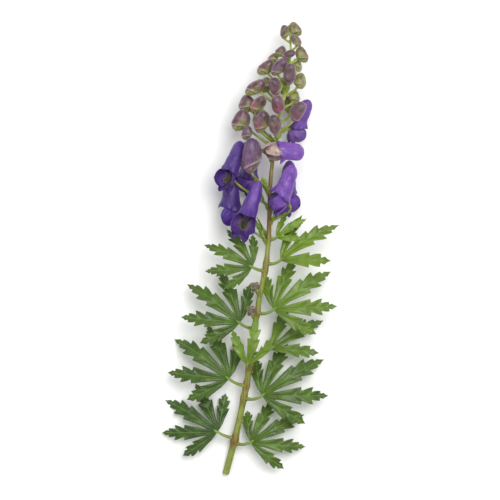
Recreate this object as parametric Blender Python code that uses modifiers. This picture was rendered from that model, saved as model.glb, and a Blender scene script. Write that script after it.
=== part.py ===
"""A cut monkshood flower spike that lies on its back on a flat surface.

The stem runs along +Y from its cut end to its tip, +X is to the right of it as seen from above, and +Z is up.
The origin is on the surface, under the middle of the spike's box. Lengths are in millimetres up to the point
where a mesh is made, which is in metres.
"""

import math
from collections import namedtuple

import bmesh
import bpy
import numpy as np
from mathutils import Matrix, Vector
from mathutils.geometry import interpolate_bezier

MM = 0.001
UP = Vector((0, 0, 1))
ALONG = Vector((0, 1, 0))

# The place of the stem's frame in the object's, which puts the origin under the middle of the whole box
FRAME_SHIFT = Vector((8.0, 1.2, 0))

# Gaps and walls
SEAT_GAP = 0.35
PETAL_THICKNESS = 0.8
BLADE_THICKNESS = 0.7
FLOOR_CLEARANCE = 0.38
FLOOR_SOFTNESS = 1.2

# The stem: points on its axis from the cut end to the tip, and its radius at heights along Y
STEM_LINE = (
    (-26.3, -170.0, 2.07),
    (-19.5, -144.0, 6.2),
    (-13.8, -118.0, 10.0),
    (-8.6, -90.0, 13.4),
    (-4.6, -60.0, 16.8),
    (-0.2, -33.0, 19.4),
    (4.0, -12.0, 21.4),
    (6.2, 14.0, 23.4),
    (7.4, 52.0, 25.6),
    (12.4, 89.0, 27.2),
    (18.6, 120.0, 27.6),
    (22.2, 148.0, 27.0),
    (20.6, 166.0, 26.4),
)
STEM_RADII = ((-170, 2.4), (-60, 2.1), (-12, 1.8), (52, 1.4), (120, 0.95), (166, 0.6))
STEM_STATIONS = 24
JOINT_SWELL = 0.6
JOINT_LENGTH = 3.0

# Open flowers: the height of the hood, its half widths and depths at the dome and at the hem
HOOD_HEIGHT = 33.0
HOOD_HALF_WIDTH = (4.4, 6.9)
HOOD_HALF_DEPTH = (5.2, 8.4)
HOOD_CENTRE = (5.8, 8.0)
HEM_RISE = 0.24
DOME_SHARE = 0.24
DOME_CROWDING = 1.55
BEAK_LENGTH = 2.2
BEAK_SPREAD = 0.45
BEAK_DROP = 0.6
BEAK_FROM = 0.75
BROW_HOLLOW = 0.14
PETAL_BASE_HALF_WIDTH = 1.1
PETAL_WIDEST_AT = 0.58
PETAL_BELLY = 0.6
SIDE_SEPAL_BASE = (1.7, 0.8, 0.6)
SIDE_SEPAL_WAY = (0.46, 0.86, -0.20)
SIDE_SEPAL_OUT = (0.86, -0.45, -0.10)
SIDE_SEPAL_LENGTH = 16.0
SIDE_SEPAL_HALF_WIDTH = 7.6
SIDE_SEPAL_CUP = 2.6
LOWER_SEPAL_BASE = (1.0, 0.4, -1.0)
LOWER_SEPAL_WAY = (0.26, 0.52, -0.81)
LOWER_SEPAL_TURN = 0.30
LOWER_SEPAL_LENGTH = 14.5
LOWER_SEPAL_HALF_WIDTH = 3.3
LOWER_SEPAL_CURL = 2.4
RECEPTACLE_RADIUS = 1.9
FLOWER_SEAT = Vector((0, -0.88, -0.47)).normalized()

# The tuft in each flower: stamens round three seed pods, and two nectar petals up in the hood
TUFT_FORWARD = Vector((0, 0.99, -0.12)).normalized()
TUFT_BASE_RADIUS = 1.15
TUFT_BASE_LENGTH = 1.4
STAMEN_COUNT = 5
STAMEN_LENGTH = 8.0
STAMEN_SPREAD = 0.30
STAMEN_RADIUS = 0.40
STAMEN_RING = 0.5
ANTHER_RADIUS = 0.90
POD_COUNT = 3
POD_LENGTH = 6.0
POD_RADII = (0.75, 0.3)
POD_SPREAD = 0.12
NECTARY_POINTS = ((0.4, 2.9, -0.4), (1.5, 5.2, 6.0), (1.4, 6.4, 14.0), (1.2, 7.6, 21.0))
NECTARY_RADII = (0.45, 0.4, 0.4, 0.6)

# Fineness of the round and curved pieces
HOOD_SIDES = 8
HOOD_RINGS = 4
BUD_SIDES = 7
BUD_RINGS = 6
STALK_STEPS = 3

# x, y and z of the receptacle, the way its hood points, the way its face looks, its scale, how far its hood
# is stretched, and how plump the hood's dome is
Flower = namedtuple("Flower", "place hood face scale stretch plump")
FLOWERS = {
    "flower_1": Flower((-12.0, 19.0, 29.0), (0.33, 0.90, 0.10), (-0.10, -0.25, 1.0), 1.00, 1.0, 0.95),
    "flower_2": Flower((-20.5, 51.5, 26.0), (0.30, 0.95, 0.12), (-0.62, -0.15, 0.75), 0.88, 1.0, 1.0),
    "flower_3": Flower((20.0, 33.0, 35.5), (0.30, 0.93, 0.14), (-0.86, -0.15, 0.12), 0.88, 0.98, 1.05),
    "flower_4": Flower((11.5, 78.6, 36.6), (1.00, -0.08, 0.05), (-0.08, -0.95, 0.20), 0.84, 0.76, 1.4),
    "flower_5": Flower((21.5, 89.0, 19.5), (0.40, 0.90, 0.10), (0.70, -0.15, -0.45), 0.78, 1.0, 1.15),
    "flower_6": Flower((-15.0, 26.0, 17.0), (-0.10, 1.00, 0.05), (-0.90, -0.20, -0.10), 0.94, 1.0, 1.0),
    "flower_7": Flower((-4.0, 51.0, 15.6), (-0.12, 1.00, 0.02), (-0.55, -0.10, -0.70), 0.90, 1.0, 1.0),
    "flower_8": Flower((15.0, 36.0, 15.97), (0.12, 1.00, 0.02), (0.55, -0.10, -0.72), 0.92, 1.0, 1.0),
}

# x, y and z of a bud's middle, its length and width, its lean to the right of +Y and its tilt up, in degrees
Bud = namedtuple("Bud", "place length width lean tilt")
BUDS = (
    Bud((17.5, 160.5, 29.0), 11.0, 7.3, 5, 20),
    Bud((26.0, 163.0, 27.0), 12.0, 8.3, -42, -5),
    Bud((26.2, 153.8, 32.5), 10.4, 7.7, -40, 10),
    Bud((31.0, 144.0, 27.0), 13.0, 8.7, -32, 0),
    Bud((14.5, 146.5, 25.0), 9.4, 7.3, 50, 10),
    Bud((20.5, 143.4, 34.2), 11.0, 6.8, 70, 10),
    Bud((9.0, 141.5, 19.0), 9.9, 8.1, 40, -20),
    Bud((3.4, 134.3, 27.5), 14.6, 10.2, 55, 5),
    Bud((13.5, 134.0, 36.0), 16.1, 10.6, 42, 12),
    Bud((21.5, 128.5, 38.5), 16.6, 10.9, 5, 15),
    Bud((27.5, 136.5, 21.5), 11.0, 7.5, -15, -10),
    Bud((29.5, 124.0, 31.5), 12.0, 9.5, -12, -10),
    Bud((-4.2, 119.3, 28.5), 17.2, 11.1, 58, 5),
    Bud((10.4, 119.5, 37.0), 14.6, 10.6, -12, 20),
    Bud((-11.0, 107.5, 23.5), 14.0, 11.8, 25, -5),
    Bud((-2.0, 106.5, 34.0), 15.1, 10.6, 45, 20),
    Bud((12.4, 106.0, 38.5), 15.1, 10.9, -10, 25),
    Bud((-15.2, 95.0, 28.5), 17.2, 13.0, 35, 10),
    Bud((0.4, 93.5, 36.5), 17.7, 11.8, 20, 18),
    Bud((10.2, 91.0, 40.0), 16.1, 11.1, -10, 20),
    Bud((27.5, 101.0, 37.0), 16.1, 11.3, 28, 15),
    Bud((-7.5, 68.5, 37.0), 26.5, 15.4, 8, 8),
    Bud((17.5, 121.5, 16.5), 14.0, 10.4, 5, -10),
    Bud((3.5, 122.0, 17.5), 13.0, 10.4, 25, -15),
    Bud((22.0, 107.0, 13.5), 15.1, 11.3, -15, -8),
    Bud((-1.0, 97.5, 14.5), 15.6, 11.8, 15, -8),
    Bud((25.4, 112.6, 27.0), 10.0, 8.0, -20, -5),
    Bud((-10.6, 85.6, 33.0), 11.0, 8.2, 20, 0),
)
BUD_TIP_TAPER = 0.18
BUD_TIP_FROM = -0.4
BUD_FOOT_TAPER = 0.12
BUD_LIP = 0.16
BUD_LIP_AT = (-0.55, 0.30)
BUD_LIP_DROP = 0.6
BUD_GROOVE = 0.07
BUD_GROOVE_AT = (-0.15, 0.18)
BUD_BEND = 0.10
BUD_FLATNESS = 0.86
BUD_SEAT_INWARD = 0.75

# Stalks of the flowers and buds, and the bract under each
STALK_RADIUS = (0.95, 0.7)
STALK_PULL = 0.38
STALK_CLIMB = 0.75
BRACT_LENGTHS = ((0, 19.0), (40, 14.0), (80, 9.0), (110, 7.0))
BRACTS_UP_TO = 100.0
BRACT_WIDTH_SHARE = 0.17
BRACT_LIFT = 0.8
BRACT_ARCH = -25
BRACT_FOLD = 0.25
BRACT_TUCK = 2.0

# A leaf outline: the angle between lobes, lobe lengths from left to right, the reach of the web and the teeth
LeafShape = namedtuple("LeafShape", "spacing lengths web width_share teeth")
BROAD = LeafShape(35, (0.64, 0.88, 1.0, 0.88, 0.64), 0.16, 0.146, (2, 4, 4, 4, 2))
RIGHT = LeafShape(35, (0.52, 0.82, 1.0, 0.90, 0.68), 0.16, 0.146, (2, 4, 4, 4, 2))
NARROW = LeafShape(38, (0.76, 1.0, 0.76), 0.16, 0.150, (2, 4, 2))
BRACT_LEAF = LeafShape(40, (1.0,), 0.30, BRACT_WIDTH_SHARE, (1,))
TOOTH_DEPTH = 0.48
TIP_TOOTH_DEPTH = 0.25
TOOTH_CREST = 0.70
TIP_CREST = 0.22
FIRST_TOOTH_SHARE = 0.44
FIRST_TOOTH_CREST = 0.82
TOOTH_LEAN = 1.0
LOBE_WIDEST_AT = 0.50
LOBE_TAPER = 1.05
LOBE_WIDTH_EVENNESS = 0.4

# y on the stem, which way the stalk leaves, its length, the middle lobe's length and way, which way the
# upper side looks, the arch of the blade in degrees, and how far its lobes fold up from their ribs
Leaf = namedtuple("Leaf", "shape height out stalk length way face arch fold")
LEAVES = {
    "leaf_1": Leaf(NARROW, -11, (0.95, 0.2, 0.35), 9, 52, (0.72, 0.67, 0.34), (-0.40, 0.30, 0.85), 46, 0.22),
    "leaf_2": Leaf(BROAD, -17, (-0.8, 0.1, 0.6), 9, 42, (-0.80, 0.50, 0.34), (0.30, 0.10, 1.0), 62, 0.20),
    "leaf_3": Leaf(RIGHT, -48, (0.9, 0.1, 0.45), 11, 55, (0.75, 0.65, 0.22), (-0.20, 0.18, 1.0), 56, 0.20),
    "leaf_4": Leaf(BROAD, -60, (-0.9, 0.1, 0.4), 10, 52, (-0.69, 0.66, 0.22), (0.25, 0.15, 1.0), 55, 0.20),
    "leaf_5": Leaf(NARROW, -78, (0.95, 0.1, 0.0), 12, 48, (0.81, 0.58, 0.00), (-0.1, 0.35, 0.9), 40, 0.22),
    "leaf_6": Leaf(NARROW, -90, (-0.3, 0.2, 0.95), 9, 40, (0.25, 0.72, 0.60), (0.1, -0.5, 0.85), 72, 0.22),
    "leaf_7": Leaf(RIGHT, -112, (0.9, 0.1, 0.45), 12, 58, (0.78, 0.60, 0.22), (-0.20, 0.18, 1.0), 60, 0.18),
    "leaf_8": Leaf(BROAD, -103, (-0.9, 0.1, 0.4), 12, 56, (-0.70, 0.66, 0.22), (0.2, 0.15, 1.0), 66, 0.20),
    "leaf_9": Leaf(RIGHT, -146, (0.9, 0.0, 0.4), 10, 48, (0.82, 0.50, 0.20), (-0.1, 0.15, 1.0), 52, 0.20),
    "leaf_10": Leaf(BROAD, -143, (-0.9, 0.0, 0.2), 11, 50, (-0.79, 0.56, 0.10), (0.1, 0.15, 1.0), 50, 0.20),
    "leaf_11": Leaf(NARROW, 7, (0.85, 0.3, 0.45), 4, 27, (0.74, 0.62, 0.40), (-0.4, 0.1, 0.9), 45, 0.25),
}
LEAF_STALK_RADIUS = (1.25, 0.85)
LEAF_WAVE = 1.3
LEAF_WAVE_TURNS = (4.2, 5.0)
LEAF_STALK_TUCK = 3.1

# Clusters of tiny buds in the leaf axils: the stem height, the way out, the stalk's length
Cluster = namedtuple("Cluster", "height out stalk")
CLUSTERS = {
    "bud_cluster_1": Cluster(-53, (-0.45, 0.1, 0.90), 10),
    "bud_cluster_2": Cluster(-35, (-0.45, 0.3, 0.90), 9),
}
CLUSTER_STALK_RADII = (0.8, 0.7, 0.7, 0.9)
CLUSTER_CLIMB = 0.8
KNOB_STRETCH = 1.1
# x, y and z from the head of the stalk, and the radius
CLUSTER_BUDS = (
    (0.0, 0.0, 2.6, 2.5),
    (2.4, 0.6, 1.0, 2.1),
    (-2.3, 0.8, 1.2, 2.1),
    (0.3, -2.3, 0.6, 2.0),
    (0.2, 2.4, 0.8, 2.0),
)

# Colours, as linear red, green and blue
VIOLET = (0.075, 0.022, 0.300)
MAUVE = (0.190, 0.105, 0.200)
LEAF_GREEN = (0.055, 0.150, 0.030)
STEM_OLIVE = (0.150, 0.160, 0.050)
ANTHER_OLIVE = (0.200, 0.190, 0.050)


def clear_scene():
    for old in list(bpy.data.objects):
        bpy.data.objects.remove(old)


def make_collection(name):
    made = bpy.data.collections.new(name)
    bpy.context.scene.collection.children.link(made)
    return made


def make_material(name, colour, roughness):
    material = bpy.data.materials.new(name)
    material.use_nodes = True
    shader = material.node_tree.nodes["Principled BSDF"]
    shader.inputs["Base Color"].default_value = (*colour, 1)
    shader.inputs["Roughness"].default_value = roughness
    shader.inputs["Metallic"].default_value = 0.0
    return material


def smooth(value):
    """0 to 1, with a soft start and end."""
    value = min(max(value, 0.0), 1.0)
    return value * value * (3 - 2 * value)


def mix(first, last, share):
    return first + (last - first) * share


def bump(at, middle, spread):
    """1 at the middle, falling away softly on both sides."""
    return math.exp(-(((at - middle) / spread) ** 2))


def table_value(table, at):
    places, values = zip(*table)
    return float(np.interp(at, places, values))


def above_floor(point):
    """The point, pressed up softly where it would come nearer to the surface than the clearance."""
    over = (point.z - FLOOR_CLEARANCE) / FLOOR_SOFTNESS
    lifted = FLOOR_CLEARANCE + FLOOR_SOFTNESS * (math.log1p(math.exp(-abs(over))) + max(over, 0.0))
    return Vector((point.x, point.y, lifted))


def object_from(bm, name="piece"):
    """An object from a bmesh in millimetres."""
    bmesh.ops.scale(bm, vec=(MM, MM, MM), verts=bm.verts)
    mesh = bpy.data.meshes.new(name)
    bm.to_mesh(mesh)
    bm.free()
    made = bpy.data.objects.new(name, mesh)
    bpy.context.scene.collection.objects.link(made)
    return made


def evaluated_mesh(obj):
    graph = bpy.context.evaluated_depsgraph_get()
    return bpy.data.meshes.new_from_object(obj.evaluated_get(graph))


def bake_modifiers(obj):
    """Puts the result of the object's modifiers into its mesh."""
    mesh = evaluated_mesh(obj)
    obj.modifiers.clear()
    obj.data = mesh


def fuse(pieces, name, solver="EXACT"):
    """One body from the pieces, by one union on a collection."""
    body, *others = pieces
    gathered = make_collection(name + "_pieces")
    for other in others:
        bpy.context.scene.collection.objects.unlink(other)
        gathered.objects.link(other)
    union = body.modifiers.new("union", "BOOLEAN")
    union.operation = "UNION"
    union.operand_type = "COLLECTION"
    union.collection = gathered
    union.solver = solver
    bake_modifiers(body)
    for other in others:
        bpy.data.objects.remove(other)
    bpy.data.collections.remove(gathered)
    body.name = name
    return body


def finish(obj, name, material, collection):
    """Names the finished piece, shades it and moves it to the part's collection."""
    obj.name = name
    obj.data.name = name
    obj.data.materials.clear()
    obj.data.materials.append(material)
    obj.data.shade_smooth()
    obj.data.set_sharp_from_angle(angle=math.radians(50))
    bpy.context.scene.collection.objects.unlink(obj)
    collection.objects.link(obj)
    return obj


def tube(points, radii, bevel_resolution=0):
    """A closed round tube along the points, made a mesh with its caps welded."""
    curve = bpy.data.curves.new("tube", "CURVE")
    curve.dimensions = "3D"
    curve.bevel_depth = MM
    curve.bevel_resolution = bevel_resolution
    curve.use_fill_caps = True
    spline = curve.splines.new("POLY")
    spline.points.add(len(points) - 1)
    for target, point, radius in zip(spline.points, points, radii):
        target.co = (*(Vector(point) * MM), 1)
        target.radius = radius
    guide = bpy.data.objects.new("tube_guide", curve)
    bpy.context.scene.collection.objects.link(guide)
    mesh = evaluated_mesh(guide)
    bpy.data.objects.remove(guide)
    bm = bmesh.new()
    bm.from_mesh(mesh)
    bmesh.ops.remove_doubles(bm, verts=bm.verts, dist=0.00001)
    bmesh.ops.recalc_face_normals(bm, faces=bm.faces)
    bm.to_mesh(mesh)
    bm.free()
    made = bpy.data.objects.new("tube", mesh)
    bpy.context.scene.collection.objects.link(made)
    return made


def thicken(bm, thickness):
    """A closed wall from an open sheet, split into triangles alike on both of its faces."""
    bmesh.ops.remove_doubles(bm, verts=bm.verts, dist=0.01)
    bmesh.ops.triangulate(bm, faces=bm.faces)
    bmesh.ops.recalc_face_normals(bm, faces=bm.faces)
    sheet = object_from(bm, "sheet")
    wall = sheet.modifiers.new("wall", "SOLIDIFY")
    wall.thickness = thickness * MM
    wall.offset = 0
    bake_modifiers(sheet)
    return sheet


def axes_of(up_way, face_way):
    """A turn whose Z is the first way and whose Y lies as near as it can to the second."""
    up = Vector(up_way).normalized()
    face = Vector(face_way)
    face = (face - up * face.dot(up)).normalized()
    return Matrix((face.cross(up), face, up)).transposed().to_4x4()


# The stem's axis


def rounded_line(points, steps):
    """Points on a curve that runs smoothly through the given ones."""
    line = [Vector(p) for p in points]
    line = [2 * line[0] - line[1], *line, 2 * line[-1] - line[-2]]
    found = []
    for i in range(1, len(line) - 2):
        before, start, end, after = line[i - 1 : i + 3]
        for k in range(steps):
            t = k / steps
            found.append(
                0.5
                * (
                    2 * start
                    + (end - before) * t
                    + (2 * before - 5 * start + 4 * end - after) * t**2
                    + (3 * start - before - 3 * end + after) * t**3
                )
            )
    found.append(line[-2])
    return found


STEM_CURVE = np.array(rounded_line(STEM_LINE, 8))


def stem_point(height):
    x, y, z = STEM_CURVE.T
    return Vector((float(np.interp(height, y, x)), height, float(np.interp(height, y, z))))


def stem_way(height):
    return (stem_point(height + 2) - stem_point(height - 2)).normalized()


def stem_radius(height):
    """The stem's radius, a little thicker at each leaf's joint."""
    radius = table_value(STEM_RADII, height)
    for leaf in LEAVES.values():
        radius += JOINT_SWELL * bump(height, leaf.height, JOINT_LENGTH)
    return radius


def stem_tube():
    low, high = STEM_LINE[0][1], STEM_LINE[-1][1]
    heights = set(np.linspace(low, high, STEM_STATIONS))
    heights |= {float(leaf.height) for leaf in LEAVES.values()}
    heights = sorted(heights)
    return tube([stem_point(h) for h in heights], [stem_radius(h) for h in heights], 1)


# Leaves


def tooth_start(tooth, teeth):
    """Where on a lobe's edge a tooth's stretch begins. The first one is long, with no notch before it."""
    if tooth == 0:
        return 0.0
    if tooth == teeth:
        return 1.0
    return mix(FIRST_TOOTH_SHARE, 1.0, (tooth - 1) / (teeth - 1))


def tooth_crest(tooth, teeth):
    """Where a tooth is widest. The last one is the lobe's lance-shaped tip."""
    if tooth == teeth - 1:
        crest = TIP_CREST
    else:
        crest = FIRST_TOOTH_CREST if tooth == 0 else TOOTH_CREST
    return mix(tooth_start(tooth, teeth), tooth_start(tooth + 1, teeth), crest)


def notch_depth(share):
    return mix(TOOTH_DEPTH, TIP_TOOTH_DEPTH, share)


def lobe_width(share, notched, web_width, full_width):
    """Half the lobe's width at a share of its edge, at a tooth's point or, where notched, between two."""
    if share < LOBE_WIDEST_AT:
        width = mix(web_width, full_width, smooth(share / LOBE_WIDEST_AT))
    else:
        width = full_width * (1 - ((share - LOBE_WIDEST_AT) / (1 - LOBE_WIDEST_AT)) ** LOBE_TAPER)
    return width * (1 - notch_depth(share)) if notched else width


def edge_turns(teeth):
    """Where the outline turns, and whether in a notch: at each tooth's point and at the notch behind it."""
    turns = [(0.0, False)]
    for tooth in range(teeth):
        turns.append((tooth_crest(tooth, teeth), False))
        turns.append((tooth_start(tooth + 1, teeth), True))
    return turns


def leaf_sheet(shape, length):
    """The flat blade as points with their distance from the nearest lobe's rib, and its faces."""
    points, faces, places = [], [], {}
    half_angle = math.radians(shape.spacing / 2)
    web = shape.web * length
    web_width = web * math.sin(half_angle)
    rib_start = web * math.cos(half_angle) - TOOTH_LEAN * web_width
    middle = (len(shape.lengths) - 1) / 2

    def place(point, aside):
        key = (round(point.x, 3), round(point.y, 3))
        if key not in places:
            places[key] = len(points)
            points.append((point, aside))
        return places[key]

    def add(*corners):
        corners = list(dict.fromkeys(corners))
        if len(corners) > 2:
            faces.append(corners)

    for number, (reach, teeth) in enumerate(zip(shape.lengths, shape.teeth)):
        angle = math.radians(shape.spacing) * (number - middle)
        ahead = Vector((math.sin(angle), math.cos(angle)))
        aside = Vector((math.cos(angle), -math.sin(angle)))
        full_width = shape.width_share * length * mix(reach, 1.0, LOBE_WIDTH_EVENNESS)
        rows = [(0.0, 0.0)]
        for share, notched in edge_turns(teeth):
            width = lobe_width(share, notched, web_width, full_width)
            rows.append((mix(rib_start, length * reach, share), width))
        ends = []
        for rib, width in rows:
            rib_point = ahead * rib
            sides = [rib_point + (ahead * TOOTH_LEAN + aside * way) * width for way in (-1, 1)]
            ends.append((place(sides[0], width), place(rib_point, 0.0), place(sides[1], width)))
        for (left, rib, right), (next_left, next_rib, next_right) in zip(ends, ends[1:]):
            add(left, rib, next_rib, next_left)
            add(rib, right, next_right, next_rib)
    return points, faces


def arched(point, aside, leaf_length, arch, fold):
    """The flat blade's point bent down along the blade, with its lobes folded up from their ribs."""
    reach = point.length
    turn = math.radians(arch) / leaf_length
    level = math.sin(turn * reach) / turn
    drop = (1 - math.cos(turn * reach)) / turn
    way = point.normalized() if reach > 0 else point
    along, across = LEAF_WAVE_TURNS
    wave = LEAF_WAVE * math.sin(along * reach / leaf_length + across * way.x) * reach / leaf_length
    return Vector((way.x * level, way.y * level, fold * aside + wave - drop))


def blade(shape, length, turn, origin, arch, fold):
    bm = bmesh.new()
    points, faces = leaf_sheet(shape, length)
    corners = []
    for point, aside in points:
        bent = arched(point, aside, length, arch, fold)
        corners.append(bm.verts.new(above_floor(origin + turn @ bent)))
    for face in faces:
        bm.faces.new([corners[i] for i in face])
    return thicken(bm, BLADE_THICKNESS)


def leaf_turn(way, face):
    """A turn whose Y runs along the blade and whose Z is its upper side."""
    ahead = Vector(way).normalized()
    upper = Vector(face)
    upper = (upper - ahead * upper.dot(ahead)).normalized()
    return Matrix((ahead.cross(upper), ahead, upper)).transposed()


def stalk_line(start, start_way, end, end_way, steps, pull=STALK_PULL):
    """A smooth line that leaves the start and comes into the end along the given ways."""
    reach = (end - start).length * pull
    return interpolate_bezier(start, start + start_way * reach, end - end_way * reach, end, steps + 1)


def leaf_foot(leaf):
    """Where the leaf's stalk meets the stem, and the way out there."""
    way = stem_way(leaf.height)
    out = Vector(leaf.out)
    out = (out - way * out.dot(way)).normalized()
    return stem_point(leaf.height) + out * (stem_radius(leaf.height) + SEAT_GAP), out


def make_leaf(leaf):
    foot, out = leaf_foot(leaf)
    turn = leaf_turn(leaf.way, leaf.face)
    ahead = turn @ ALONG
    origin = foot + (out + ahead).normalized() * leaf.stalk
    line = stalk_line(foot, out, origin + ahead * LEAF_STALK_TUCK, ahead, STALK_STEPS)
    stalk = tube(line, [mix(*LEAF_STALK_RADIUS, k / STALK_STEPS) for k in range(STALK_STEPS + 1)], 1)
    return fuse([stalk, blade(leaf.shape, leaf.length, turn, origin, leaf.arch, leaf.fold)], "leaf")


# Flowers, built with the receptacle at the origin, the hood along +Z and the face along +Y


def at_dome(pair, plump, share):
    """A size of the hood between its dome, which may be plumper, and its hem."""
    dome, hem = pair
    return mix(dome * plump, hem, share)


def hood(stretch, plump):
    """The helmet: a dome whose lower rim slants from the receptacle up to the beak."""
    bm = bmesh.new()
    bmesh.ops.create_uvsphere(bm, u_segments=HOOD_SIDES, v_segments=2 * HOOD_RINGS, radius=1)
    bmesh.ops.delete(bm, geom=[v for v in bm.verts if v.co.z < -0.01], context="VERTS")
    for vert in bm.verts:
        around = math.atan2(vert.co.x, vert.co.y)
        down = (math.acos(max(-1.0, min(1.0, vert.co.z))) / (math.pi / 2)) ** DOME_CROWDING
        share = down * (1 - HEM_RISE * (1 + math.cos(around)) / 2)
        dome = min(share / DOME_SHARE, 1.0)
        swell = math.sqrt(dome * (2 - dome))
        front = max(math.cos(around), 0.0)
        hollow = BROW_HOLLOW * front * math.sin(math.pi * down)
        depth = at_dome(HOOD_HALF_DEPTH, plump, share) * (1 - hollow)
        beak = BEAK_LENGTH * bump(around, 0, BEAK_SPREAD) * smooth((down - BEAK_FROM) / (1 - BEAK_FROM))
        vert.co = Vector(
            (
                at_dome(HOOD_HALF_WIDTH, plump, smooth(share)) * swell * math.sin(around),
                at_dome(HOOD_CENTRE, plump, share) + depth * swell * math.cos(around) + beak,
                HOOD_HEIGHT * stretch * (1 - share) - beak * BEAK_DROP,
            )
        )
    return thicken(bm, PETAL_THICKNESS)


def petal_half_width(share, widest):
    if share < PETAL_WIDEST_AT:
        return mix(PETAL_BASE_HALF_WIDTH, widest, math.sin(share / PETAL_WIDEST_AT * math.pi / 2))
    return widest * math.sqrt(max(0.0, 1 - ((share - PETAL_WIDEST_AT) / (1 - PETAL_WIDEST_AT)) ** 2))


def petal(base, way, across, out, length, half_width, cup, steps, columns=2):
    """A petal from its narrow base: a grid laid along one way and across another, bent towards a third."""
    bm = bmesh.new()
    bmesh.ops.create_grid(bm, x_segments=columns, y_segments=steps, size=1)
    for vert in bm.verts:
        share = (vert.co.y + 1) / 2
        side = vert.co.x
        width = petal_half_width(share, half_width)
        bend = cup * (math.sin(share * math.pi) * PETAL_BELLY - side * side * width / half_width)
        vert.co = base + way * length * share + across * width * side + out * bend
    return thicken(bm, PETAL_THICKNESS)


def mirrored(point, side):
    """The point as given on side 1, or on the other side of the flower's middle on side -1."""
    x, y, z = point
    return Vector((side * x, y, z))


def side_sepal(side):
    way = mirrored(SIDE_SEPAL_WAY, side).normalized()
    out = mirrored(SIDE_SEPAL_OUT, side).normalized()
    across = way.cross(out).normalized()
    base = mirrored(SIDE_SEPAL_BASE, side)
    return petal(base, way, across, out, SIDE_SEPAL_LENGTH, SIDE_SEPAL_HALF_WIDTH, SIDE_SEPAL_CUP, 4)


def lower_sepal(side):
    way = mirrored(LOWER_SEPAL_WAY, side).normalized()
    across = Vector((1, 0, side * LOWER_SEPAL_TURN)).normalized()
    out = way.cross(across).normalized()
    base = mirrored(LOWER_SEPAL_BASE, side)
    return petal(base, way, across, out, LOWER_SEPAL_LENGTH, LOWER_SEPAL_HALF_WIDTH, LOWER_SEPAL_CURL, 3)


def receptacle():
    bm = bmesh.new()
    bmesh.ops.create_uvsphere(bm, u_segments=6, v_segments=3, radius=RECEPTACLE_RADIUS)
    return object_from(bm)


def flower_sepals(flower):
    pieces = [receptacle(), hood(flower.stretch, flower.plump)]
    for side in (-1, 1):
        pieces.append(side_sepal(side))
        pieces.append(lower_sepal(side))
    return fuse(pieces, "flower")


def cone_along(start, end, radius, end_radius, sides):
    bm = bmesh.new()
    way = end - start
    bmesh.ops.create_cone(
        bm, cap_ends=True, segments=sides, radius1=radius, radius2=end_radius, depth=way.length
    )
    turn = UP.rotation_difference(way).to_matrix().to_4x4()
    bmesh.ops.transform(bm, matrix=Matrix.Translation((start + end) / 2) @ turn, verts=bm.verts)
    return object_from(bm)


def ring_of_ways(axis, count, offset=0.0):
    """Ways square to the axis, evenly round it."""
    first = Vector((1, 0, 0))
    second = axis.cross(first)
    turns = [math.tau * (number + offset) / count for number in range(count)]
    return [first * math.cos(turn) + second * math.sin(turn) for turn in turns]


def flower_tuft(flower):
    """Stamens, seed pods and the two nectar petals, on their own small base."""
    start = TUFT_FORWARD * (RECEPTACLE_RADIUS + SEAT_GAP)
    root = start + TUFT_FORWARD * TUFT_BASE_LENGTH
    foot = (start + root) / 2
    pieces = [cone_along(start, root, TUFT_BASE_RADIUS, TUFT_BASE_RADIUS * 0.9, 6)]
    for away in ring_of_ways(TUFT_FORWARD, STAMEN_COUNT, 0.5):
        way = (TUFT_FORWARD + away * STAMEN_SPREAD).normalized()
        root = foot + away * STAMEN_RING
        pieces.append(cone_along(root, root + way * STAMEN_LENGTH, STAMEN_RADIUS, ANTHER_RADIUS, 4))
    for away in ring_of_ways(TUFT_FORWARD, POD_COUNT):
        way = (TUFT_FORWARD + away * POD_SPREAD).normalized()
        pieces.append(cone_along(foot, foot + way * POD_LENGTH, *POD_RADII, 4))
    for side in (-1, 1):
        points = [(x, y, z * flower.stretch) for x, y, z in NECTARY_POINTS]
        pieces.append(tube([mirrored(point, side) for point in points], NECTARY_RADII))
    return fuse(pieces, "tuft", "MANIFOLD")


def placed(source, matrix):
    """The object with its mesh moved for good, in millimetres."""
    to_metres = Matrix.Translation(matrix.translation * MM) @ matrix.to_3x3().to_4x4()
    source.data.transform(to_metres)
    return source


def flower_matrix(flower):
    size = Matrix.Diagonal((flower.scale,) * 3).to_4x4()
    return Matrix.Translation(flower.place) @ axes_of(flower.hood, flower.face) @ size


def flower_seat(flower):
    """Where a flower's stalk ends behind its receptacle, and the way from the flower to it."""
    matrix = flower_matrix(flower)
    way = (matrix.to_3x3() @ FLOWER_SEAT).normalized()
    return matrix.translation + way * (RECEPTACLE_RADIUS * flower.scale + SEAT_GAP), way


# Buds


def bud_way(bud):
    """The way a bud's hooded end points."""
    lean, tilt = math.radians(bud.lean), math.radians(bud.tilt)
    return Vector((math.sin(lean) * math.cos(tilt), math.cos(lean) * math.cos(tilt), math.sin(tilt)))


def away_from_stem(point):
    stem = stem_point(point.y)
    return Vector((point.x - stem.x, 0, point.z - stem.z)).normalized()


def bud_matrix(bud):
    """The bud's turn: its hood along its own way, and its lip outwards and down the stem."""
    place = Vector(bud.place)
    lip = away_from_stem(place) - ALONG * BUD_LIP_DROP
    return Matrix.Translation(place) @ axes_of(bud_way(bud), lip)


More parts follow.
